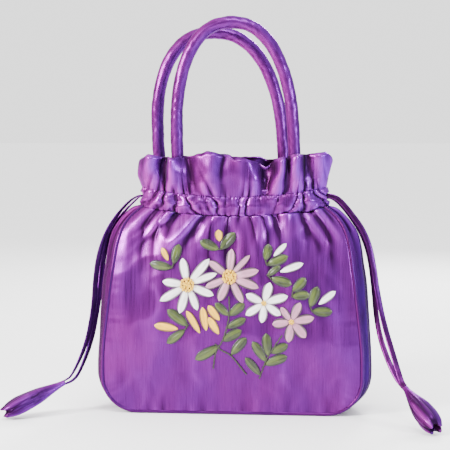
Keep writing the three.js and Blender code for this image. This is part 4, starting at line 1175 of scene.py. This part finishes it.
def build_knots(bag, name, x, z, radius, size):
    """A round of knotted stitches, packed from the middle outwards."""
    spots = [(0.0, 0.0)]
    round_number = 1
    while size * 0.85 * round_number <= radius - size * 0.3:
        reach = size * 0.85 * round_number
        count = max(5, round(2 * math.pi * reach / (size * 0.86)))
        for i in range(count):
            turn = 2 * math.pi * i / count + 0.7 * round_number
            spots.append((reach * math.cos(turn), reach * math.sin(turn)))
        round_number += 1
    deselect_all()
    bpy.ops.mesh.primitive_torus_add(
        major_segments=12, minor_segments=7, major_radius=size * 0.27, minor_radius=size * 0.24
    )
    master = bpy.context.object
    bpy.ops.object.mode_set(mode="EDIT")
    bpy.ops.mesh.select_all(action="SELECT")
    bpy.ops.transform.resize(value=(1, 1, 1.15))
    bpy.ops.object.mode_set(mode="OBJECT")
    knots = []
    for i, (dx, dz) in enumerate(spots):
        knot = add_object(name, master.data.copy())
        px, pz = x + dx, z + dz
        dome = 1 - (math.hypot(dx, dz) / radius) ** 2 * 0.55
        height = bag.ribbon_lift + bag.ribbon_rise * 1.1 + size * 0.35 * dome
        lean = Euler((math.pi / 2 + 0.35 * ripple(71, i * 1.7), 0.35 * ripple(72, i * 1.3), i * 1.1))
        place = Matrix.Translation((px, front_surface(bag, px, pz) - height, pz)) @ lean.to_matrix().to_4x4()
        knot.data.transform(place)
        knots.append(knot)
    remove_piece(master)
    joined = join_pieces(name, knots)
    bpy.ops.object.shade_smooth()
    return joined


def build_stem(bag, name, places, seed):
    """A thread laid on the panel through a few places, made from a curve."""
    spots = [panel_place(bag, place) for place in places]
    points = [Vector((x, 0, z)) for x, z in spots]
    path, _ = smooth_path(points, max(8, 10 * len(points)))
    curve = bpy.data.curves.new(name, "CURVE")
    curve.dimensions = "3D"
    curve.bevel_depth = bag.stem_width / 2
    curve.bevel_resolution = 2
    curve.use_fill_caps = True
    spline = curve.splines.new("POLY")
    spline.points.add(len(path) - 1)
    for i, point in enumerate(path):
        side = 0.25 * MILLIMETRE * math.sin(i * 1.9 + seed)
        x, z = point.x + side, point.z
        height = bag.ribbon_lift + bag.stem_width * (0.35 + 0.15 * math.sin(i * 1.3))
        spline.points[i].co = (x, front_surface(bag, x, z) - height, z, 1)
    stem = add_object(name, curve)
    make_active(stem)
    bpy.ops.object.convert(target="MESH")
    return bpy.context.object


# Materials


def set_inputs(tree, node, inputs):
    """Sets inputs of a node: each is a value, or the output that it is linked from."""
    for name, given in inputs.items():
        if isinstance(given, bpy.types.NodeSocket):
            tree.links.new(given, node.inputs[name])
        else:
            node.inputs[name].default_value = given


def add_node(tree, kind, label, inputs=None, **settings):
    node = tree.nodes.new("ShaderNode" + kind)
    node.label = label
    for name, value in settings.items():
        setattr(node, name, value)
    set_inputs(tree, node, inputs or {})
    return node


def noise_texture(tree, label, place, scale, detail):
    inputs = {"Vector": place, "Scale": scale, "Detail": detail}
    return add_node(tree, "TexNoise", label, inputs).outputs["Fac"]


def stretched_noise(tree, label, place, scale, detail):
    """Noise with a scale of its own along each axis."""
    stretched = add_node(tree, "Mapping", label + " place", {"Vector": place, "Scale": scale})
    return noise_texture(tree, label, stretched.outputs["Vector"], 1.0, detail)


def map_range(tree, label, value, start, end, low, high):
    inputs = {"Value": value, "From Min": start, "From Max": end, "To Min": low, "To Max": high}
    return add_node(tree, "MapRange", label, inputs).outputs["Result"]


def calculate(tree, label, operation, *values, clamped=False):
    """A calculation with two or three values, each a number or an output."""
    inputs = dict(enumerate(values))
    return add_node(tree, "Math", label, inputs, operation=operation, use_clamp=clamped).outputs["Value"]


def mix_colours(tree, label, share, first, second, blend="MIX"):
    inputs = {"Factor": share, 6: first, 7: second}
    return add_node(tree, "Mix", label, inputs, data_type="RGBA", blend_type=blend).outputs[2]


def ramp(tree, label, value, *stops):
    """A colour ramp. Each stop is a place with a grey value or a colour."""
    node = add_node(tree, "ValToRGB", label, {"Fac": value})
    elements = node.color_ramp.elements
    elements[0].position, elements[-1].position = stops[0][0], stops[-1][0]
    for place, _ in stops[1:-1]:
        elements.new(place)
    for element, (_, tone) in zip(elements, stops):
        element.color = (tone, tone, tone, 1) if isinstance(tone, float) else (*tone, 1)
    return node.outputs["Color"]


def bump(tree, label, height, strength, distance):
    inputs = {"Height": height, "Strength": strength, "Distance": distance}
    return add_node(tree, "Bump", label, inputs).outputs["Normal"]


def new_group(name, given, made):
    """A node group with its inputs and outputs, as names with the kinds of their sockets."""
    tree = bpy.data.node_groups.new(name, "ShaderNodeTree")
    for way, sockets in (("INPUT", given), ("OUTPUT", made)):
        for socket, kind in sockets.items():
            tree.interface.new_socket(socket, in_out=way, socket_type="NodeSocket" + kind)
    return tree, tree.nodes.new("NodeGroupInput").outputs, tree.nodes.new("NodeGroupOutput")


def group_outputs(tree, name, inputs):
    return add_node(tree, "Group", name, inputs, node_tree=bpy.data.node_groups[name]).outputs


def new_material(name):
    material = bpy.data.materials.new(name)
    material.use_nodes = True
    return material, material.node_tree, material.node_tree.nodes["Principled BSDF"]


def shot_satin_group():
    """Satin whose warp and weft differ in colour: streaks, slubs, a fine weave, a slow change of tone with
    the way that the cloth faces, which is a painted shot sheen, and painted shade in the folds' valleys with
    painted highlight on their crests."""
    given = {"Vector": "Vector", "Left Tone": "Color", "Right Tone": "Color"}
    given |= {"Streaks": "Float", "Fold": "Float", "Lean": "Float"}
    made = {"Color": "Color", "Roughness": "Float", "Normal": "Vector"}
    tree, given, out = new_group("Shot Satin", given, made)
    streaks = stretched_noise(tree, "Streaks", given["Vector"], (1700, 60, 1), 3)
    slubs = stretched_noise(tree, "Slubs", given["Vector"], (620, 26, 1), 2)
    patches = stretched_noise(tree, "Patches", given["Vector"], (28, 16, 1), 2)
    weave = stretched_noise(tree, "Weave", given["Vector"], (2600, 900, 1), 1)

    # The tone follows which way the cloth faces, a painted shot sheen over the warp and weft's own two
    # colours; the patches are random tone.
    painted_shot_sheen = map_range(tree, "Painted shot sheen by lean", given["Lean"], 0.28, 0.72, 0.08, 0.85)
    tone = calculate(tree, "Tone", "MULTIPLY_ADD", patches, 0.7, -0.35)
    shot = calculate(tree, "Shot", "ADD", painted_shot_sheen, tone, clamped=True)
    base = mix_colours(tree, "Warp and weft", shot, given["Left Tone"], given["Right Tone"])
    streak_shade = ramp(tree, "Streak shade", streaks, (0.3, 0.74), (0.7, 1.24))
    slub_shade = ramp(tree, "Slub shade", slubs, (0.3, 0.9), (0.7, 1.1))
    shade = mix_colours(tree, "Shade", 1.0, streak_shade, slub_shade, "MULTIPLY")
    base = mix_colours(tree, "Streaked colour", given["Streaks"], base, shade, "MULTIPLY")
    # Painted shade in the folds' valleys and painted highlight on their crests, from the Fold mark.
    painted_fold_stops = (0.1, 1.9), (0.4, 1.05), (0.62, 0.72), (0.9, 0.2)
    depth = ramp(tree, "Painted fold shade and highlight", given["Fold"], *painted_fold_stops)
    base = mix_colours(tree, "Colour with painted fold shade", 1.0, base, depth, "MULTIPLY")
    threads = calculate(tree, "Threads", "MULTIPLY_ADD", weave, 0.5, streaks)
    set_inputs(tree, out, {
        "Color": base,
        "Roughness": map_range(tree, "Roughness", slubs, 0.3, 0.7, 0.25, 0.34),
        "Normal": bump(tree, "Thread relief", threads, 0.35, 0.00012),
    })


def satin_material(name, colours, streaks=0.6, darker=1.0, edge_tint=(0.62, 0.3, 0.75), gloss=0.4):
    """edge_tint is the colour of the gloss where the cloth is seen nearly along its face."""
    material, tree, shader = new_material(name)
    inputs = {
        "Vector": add_node(tree, "UVMap", "Cloth", uv_map="Cloth").outputs["UV"],
        "Left Tone": (*[c * darker for c in colours.satin_pink], 1),
        "Right Tone": (*[c * darker for c in colours.satin_blue], 1),
        "Streaks": streaks,
    }
    # These marks drive the painted fold shade and highlight and the painted shot sheen.
    for mark in ("Fold", "Lean"):
        inputs[mark] = add_node(tree, "Attribute", mark, attribute_name=mark).outputs["Fac"]
    satin = group_outputs(tree, "Shot Satin", inputs)
    set_inputs(tree, shader, {
        "Base Color": satin["Color"], "Roughness": satin["Roughness"], "Normal": satin["Normal"],
        "Metallic": 0.8, "Anisotropic": 0.4, "Specular IOR Level": gloss, "Specular Tint": (*edge_tint, 1),
        "Sheen Weight": 0.06, "Sheen Roughness": 0.4, "Sheen Tint": (0.9, 0.75, 1, 1),
    })
    return material


def ribbon_group():
    """Narrow satin ribbon: threads along it, painted shade along its folded edges, one half across it in its
    other tone, painted shade on most ribbons and a painted highlight on the leaves, and that tone also in
    random patches.
    """
    given = {"Vector": "Vector", "Tone": "Color", "Other Tone": "Color", "Painted Edge Shade": "Color"}
    tree, given, out = new_group("Ribbon", given, {"Color": "Color", "Normal": "Vector"})
    threads = stretched_noise(tree, "Threads", given["Vector"], (1.8, 15, 1), 2)
    where = add_node(tree, "TexCoord", "Place on the bag").outputs["Object"]
    patch = ramp(tree, "Patch mask", noise_texture(tree, "Patches", where, 95, 1.5), (0.42, 0.0), (0.6, 1.0))
    across = add_node(tree, "SeparateXYZ", "Across the ribbon", {"Vector": given["Vector"]}).outputs["Y"]
    # One half across the ribbon takes the other tone: painted shade on the white, lilac and yellow ribbons, a
    # painted highlight on the leaves. The patches are random tone.
    half = ramp(tree, "Half with painted highlight and shade", across, (0.44, 0.0), (0.56, 0.5))
    lighter = calculate(tree, "Lighter", "MULTIPLY_ADD", patch, 0.6, half, clamped=True)
    base = mix_colours(tree, "Two tones", lighter, given["Tone"], given["Other Tone"])
    # Painted shade along the ribbon's folded edges.
    edge = ramp(tree, "Painted edge shade mask", across, (0.11, 1.0), (0.2, 0.0), (0.8, 0.0), (0.89, 1.0))
    base = mix_colours(tree, "Edges", edge, base, given["Painted Edge Shade"])
    shade = ramp(tree, "Thread shade", threads, (0.3, 0.6), (0.55, 1.0), (0.75, 1.15))
    base = mix_colours(tree, "Threaded colour", 0.8, base, shade, "MULTIPLY")
    set_inputs(tree, out, {"Color": base, "Normal": bump(tree, "Thread relief", threads, 0.4, 0.0002)})


def ribbon_material(name, tone, other, edge, roughness=0.42):
    # edge is the colour of the painted shade along the ribbon's folded edges.
    material, tree, shader = new_material(name)
    ribbon = group_outputs(tree, "Ribbon", {
        "Vector": add_node(tree, "UVMap", "Along the ribbon", uv_map="UVMap").outputs["UV"],
        "Tone": (*tone, 1), "Other Tone": (*other, 1), "Painted Edge Shade": (*edge, 1),
    })
    set_inputs(tree, shader, {
        "Base Color": ribbon["Color"], "Normal": ribbon["Normal"],
        "Roughness": roughness, "Sheen Weight": 0.2,
    })
    return material


def thread_material(name, tone):
    """Matt thread with a fine twist, darker where the twist's relief is low: painted shade in its hollows."""
    material, tree, shader = new_material(name)
    where = add_node(tree, "TexCoord", "Place on the bag").outputs["Object"]
    twist = noise_texture(tree, "Twist", where, 1400, 2)
    # The dark tone is painted shade in the twist's hollows, where its relief is low.
    dark, light = tuple(c * 0.4 for c in tone), tuple(min(c * 1.2, 1) for c in tone)
    set_inputs(tree, shader, {
        "Base Color": ramp(tree, "Painted shade in the twist", twist, (0.3, dark), (0.7, light)),
        "Normal": bump(tree, "Twist relief", twist, 0.6, 0.0002), "Roughness": 0.6,
    })
    return material


def floor_material(pale):
    material, tree, shader = new_material("Pale floor")
    where = add_node(tree, "TexCoord", "Place on the floor").outputs["Object"]
    grain = noise_texture(tree, "Grain", where, 6, 3)
    paper = ramp(tree, "Paper", grain, (0.3, tuple(c * 0.99 for c in pale)), (0.7, tuple(pale)))
    set_inputs(tree, shader, {"Base Color": paper, "Roughness": 0.8})
    return material


def material_named(name):
    """One of the bag's materials, made when it is first asked for."""
    if name in bpy.data.materials:
        return bpy.data.materials[name]
    colours = bpy.context.scene.reticule_colours
    if "Shot Satin" not in bpy.data.node_groups:
        shot_satin_group()
        ribbon_group()

    def tint(tone, share):
        return tuple(clamp(c * share) for c in tone)

    def ribbon(*look):
        return lambda: ribbon_material(name, *look)

    makers = {
        "Purple satin": lambda: satin_material(name, colours),
        "Purple side satin": lambda: satin_material(name, colours, edge_tint=(0.07, 0.015, 0.1), gloss=0.0),
        "Purple trim": lambda: satin_material(name, colours, streaks=0.4, darker=0.66),
        # Each ribbon's second tone lies over one half across it and in random patches: a darker copy, painted
        # shade, for the white, lilac and yellow, and a painted highlight for the green.
        # The third tone of each ribbon is painted shade along its folded edges.
        "White ribbon": ribbon(colours.white, tint(colours.white, 0.82), (0.08, 0.04, 0.08)),
        "Lilac ribbon": ribbon(colours.lilac, tint(colours.lilac, 0.78), (0.03, 0.01, 0.02)),
        "Yellow ribbon": ribbon(colours.yellow, tint(colours.yellow, 0.78), (0.1, 0.035, 0.005)),
        "Green ribbon": ribbon(colours.leaf, colours.leaf_light, tint(colours.leaf, 0.2), 0.34),
        "Knot thread": lambda: thread_material(name, colours.knot),
        "Stem thread": lambda: thread_material(name, colours.stem),
    }
    return makers[name]()


# The stage


def studio_world():
    world = bpy.data.worlds.new("Studio")
    world.use_nodes = True
    tree = world.node_tree
    way = add_node(tree, "TexCoord", "Direction").outputs["Generated"]
    parts = add_node(tree, "SeparateXYZ", "Parts of the direction", {"Vector": way}).outputs
    level = map_range(tree, "Front or back", parts["Y"], -0.1, 0.8, FRONT_LIGHT, BACK_LIGHT)
    above = calculate(tree, "Height", "MAXIMUM", parts["Z"], 0.0)
    lighting = calculate(tree, "Softbox above", "MULTIPLY_ADD", above, SOFTBOX_LIGHT, level)
    seen = add_node(tree, "LightPath", "Seen or lighting").outputs["Is Camera Ray"]
    inputs = {0: seen, 2: lighting, 3: BACKDROP_LIGHT}
    strength = add_node(tree, "Mix", "Pale backdrop", inputs, data_type="FLOAT").outputs[0]
    set_inputs(tree, tree.nodes["Background"], {"Color": (1, 1, 1, 1), "Strength": strength})
    return world


def aim(thing, place, target):
    thing.location = place
    thing.rotation_euler = (target - thing.location).to_track_quat("-Z", "Y").to_euler()


# Operators, one for each piece or group of like pieces


class RETICULE_OT_stage(Operator):
    """Add the floor, the lights and the camera"""

    bl_idname = "reticule.stage"
    bl_label = "Stage"

    def execute(self, context):
        scene = context.scene
        deselect_all()
        bpy.ops.mesh.primitive_plane_add(size=60, location=(0, 0, 0))
        floor = context.object
        floor.name = "floor"
        bpy.ops.object.transform_apply()
        floor.data.materials.append(floor_material(scene.reticule_colours.floor))
        scene.world = studio_world()
        for row in LAMPS:
            lamp = bpy.data.lights.new(row["name"], "AREA")
            lamp.size, lamp.energy = row["size"], row["power"]
            light = add_object(row["name"], lamp)
            aim(light, row["place"], LAMP_TARGET)
            light.visible_camera = False
        lens = bpy.data.cameras.new("camera")
        lens.lens, lens.sensor_width = CAMERA_LENS, CAMERA_SENSOR
        scene.camera = add_object("camera", lens)
        aim(scene.camera, CAMERA_PLACE, CAMERA_TARGET)
        return {"FINISHED"}


class RETICULE_OT_cords(Operator):
    """Add the drawstring's strands and their tassels"""

    bl_idname = "reticule.cords"
    bl_label = "Drawstring"

    def execute(self, context):
        bag = context.scene.reticule_sizes
        for seed, tassel in enumerate(TASSELS):
            name = tassel["name"]
            piece = build_tassel(bag, name, tassel["neck"], tassel["tip"], 81 + seed)
            finish_piece(piece, name, "Purple trim")
        for seed, strand in enumerate(STRANDS):
            piece, path, length = build_strand(bag, strand, 91 + seed)
            finish_piece(piece, strand["name"], "Purple trim")
        return {"FINISHED"}


class RETICULE_OT_body(Operator):
    """Add the two panels, the side strip and the piping"""

    bl_idname = "reticule.body"
    bl_label = "Body"

    def execute(self, context):
        bag = context.scene.reticule_sizes
        for name, side, folds, seed in (
            ("front_panel", -1, ALL_FRONT_FOLDS, FRONT_SEED), ("back_panel", 1, BACK_FOLDS, BACK_SEED),
        ):
            panel = finish_piece(build_panel(bag, name, side, folds, seed), name, "Purple satin")
        gusset = finish_piece(build_gusset(bag), "gusset", "Purple side satin")
        for name, side, seed in (("front_piping", -1, 21), ("back_piping", 1, 23)):
            piping = finish_piece(build_piping(bag, name, side, seed), name, "Purple trim")
        return {"FINISHED"}


class RETICULE_OT_neck(Operator):
    """Add the casing and the ruffle"""

    bl_idname = "reticule.neck"
    bl_label = "Neck"

    def execute(self, context):
        bag = context.scene.reticule_sizes
        casing = finish_piece(build_casing(bag), "casing", "Purple satin")
        ruffle = finish_piece(build_ruffle(bag), "ruffle", "Purple satin")
        return {"FINISHED"}


class RETICULE_OT_handles(Operator):
    """Add the two stuffed handles"""

    bl_idname = "reticule.handles"
    bl_label = "Handles"

    def execute(self, context):
        bag = context.scene.reticule_sizes
        for name, seed, shape in (
            ("front_handle", 3.0, (-1, bag.front_handle_width, bag.front_handle_rise, 0.0035, -0.005)),
            ("back_handle", 5.0, (1, bag.back_handle_width, bag.back_handle_rise, -0.009, -0.009)),
        ):
            handle = finish_piece(build_handle(bag, name, seed, *shape), name, "Purple satin")
        return {"FINISHED"}


class RETICULE_OT_embroidery(Operator):
    """Add the ribbon flowers, buds, leaves and stems"""

    bl_idname = "reticule.embroidery"
    bl_label = "Embroidery"

    def execute(self, context):
        bag = context.scene.reticule_sizes
        master = master_stitch()
        seed = FIRST_STITCH_SEED

        def lay_stitch(place, turn, long, wide):
            """A bud or a leaf, as shares of a leaf's length and of the ribbon's width."""
            nonlocal seed
            seed += STITCH_SEED_STEP
            length, width = long * bag.leaf_length, wide * bag.ribbon_width
            return place_stitch(bag, master, panel_place(bag, place), turn, length, width, seed)

        for flower in FLOWERS:
            x, z = panel_place(bag, flower["place"])
            daisy = flower["kind"] == "daisy"
            reach = bag.daisy_reach if daisy else bag.blossom_reach
            knots = bag.daisy_knots if daisy else bag.blossom_knots
            start = knots * PETAL_START
            petals = []
            for turn, far, wide in flower["petals"]:
                seed += STITCH_SEED_STEP
                angle = math.radians(turn)
                foot = (x + start * math.cos(angle), z + start * math.sin(angle))
                length, width = reach * far - start, bag.ribbon_width * wide
                lift = PETAL_LIFT * (len(petals) % 3)
                petals.append(place_stitch(bag, master, foot, turn, length, width, seed, lift))
            petals = join_pieces("petals", petals)
            finish_ribbon(petals, flower["name"] + "_petals", flower["ribbon"].title() + " ribbon")
            node = flower["name"] + "_knots"
            piece = build_knots(bag, node, x, z, knots, bag.knot_diameter * (1 if daisy else BLOSSOM_KNOT))
            finish_piece(piece, node, "Knot thread", "_thread")
        for name, *shape, tone in BUDS:
            finish_ribbon(lay_stitch(*shape), name, tone.title() + " ribbon")
        for sprig in SPRIGS:
            leaves = join_pieces("leaves", [lay_stitch(*leaf) for leaf in sprig["leaves"]])
            finish_ribbon(leaves, sprig["name"], "Green ribbon")
            for i, places in enumerate(sprig["stems"]):
                stem = build_stem(bag, f"{sprig['name']}_stem_{i + 1}", places, i + seed)
                stem.data.materials.append(material_named("Stem thread"))
                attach(stem, ROOT)
        remove_piece(master)
        return {"FINISHED"}


class RETICULE_PT_sidebar(Panel):
    """The bag's pieces, sizes and colours"""

    bl_label = "Reticule"
    bl_space_type = "VIEW_3D"
    bl_region_type = "UI"
    bl_category = "Reticule"

    def draw(self, context):
        layout = self.layout
        for operator in OPERATORS:
            layout.operator(operator.bl_idname)
        for group in (context.scene.reticule_sizes, context.scene.reticule_colours):
            box = layout.box()
            for name in group.__annotations__:
                box.prop(group, name)


OPERATORS = (
    RETICULE_OT_stage,
    RETICULE_OT_cords,
    RETICULE_OT_body,
    RETICULE_OT_neck,
    RETICULE_OT_handles,
    RETICULE_OT_embroidery,
)
CLASSES = (ReticuleSizes, ReticuleColours, *OPERATORS, RETICULE_PT_sidebar)


def register():
    for entry in CLASSES:
        bpy.utils.register_class(entry)
    bpy.types.Scene.reticule_sizes = PointerProperty(type=ReticuleSizes)
    bpy.types.Scene.reticule_colours = PointerProperty(type=ReticuleColours)


def unregister():
    del bpy.types.Scene.reticule_colours
    del bpy.types.Scene.reticule_sizes
    for entry in reversed(CLASSES):
        bpy.utils.unregister_class(entry)


def main():
    register()
    bpy.ops.reticule.stage()
    bpy.ops.reticule.cords()
    bpy.ops.reticule.body()
    bpy.ops.reticule.neck()
    bpy.ops.reticule.handles()
    bpy.ops.reticule.embroidery()


if __name__ == "__main__":
    main()
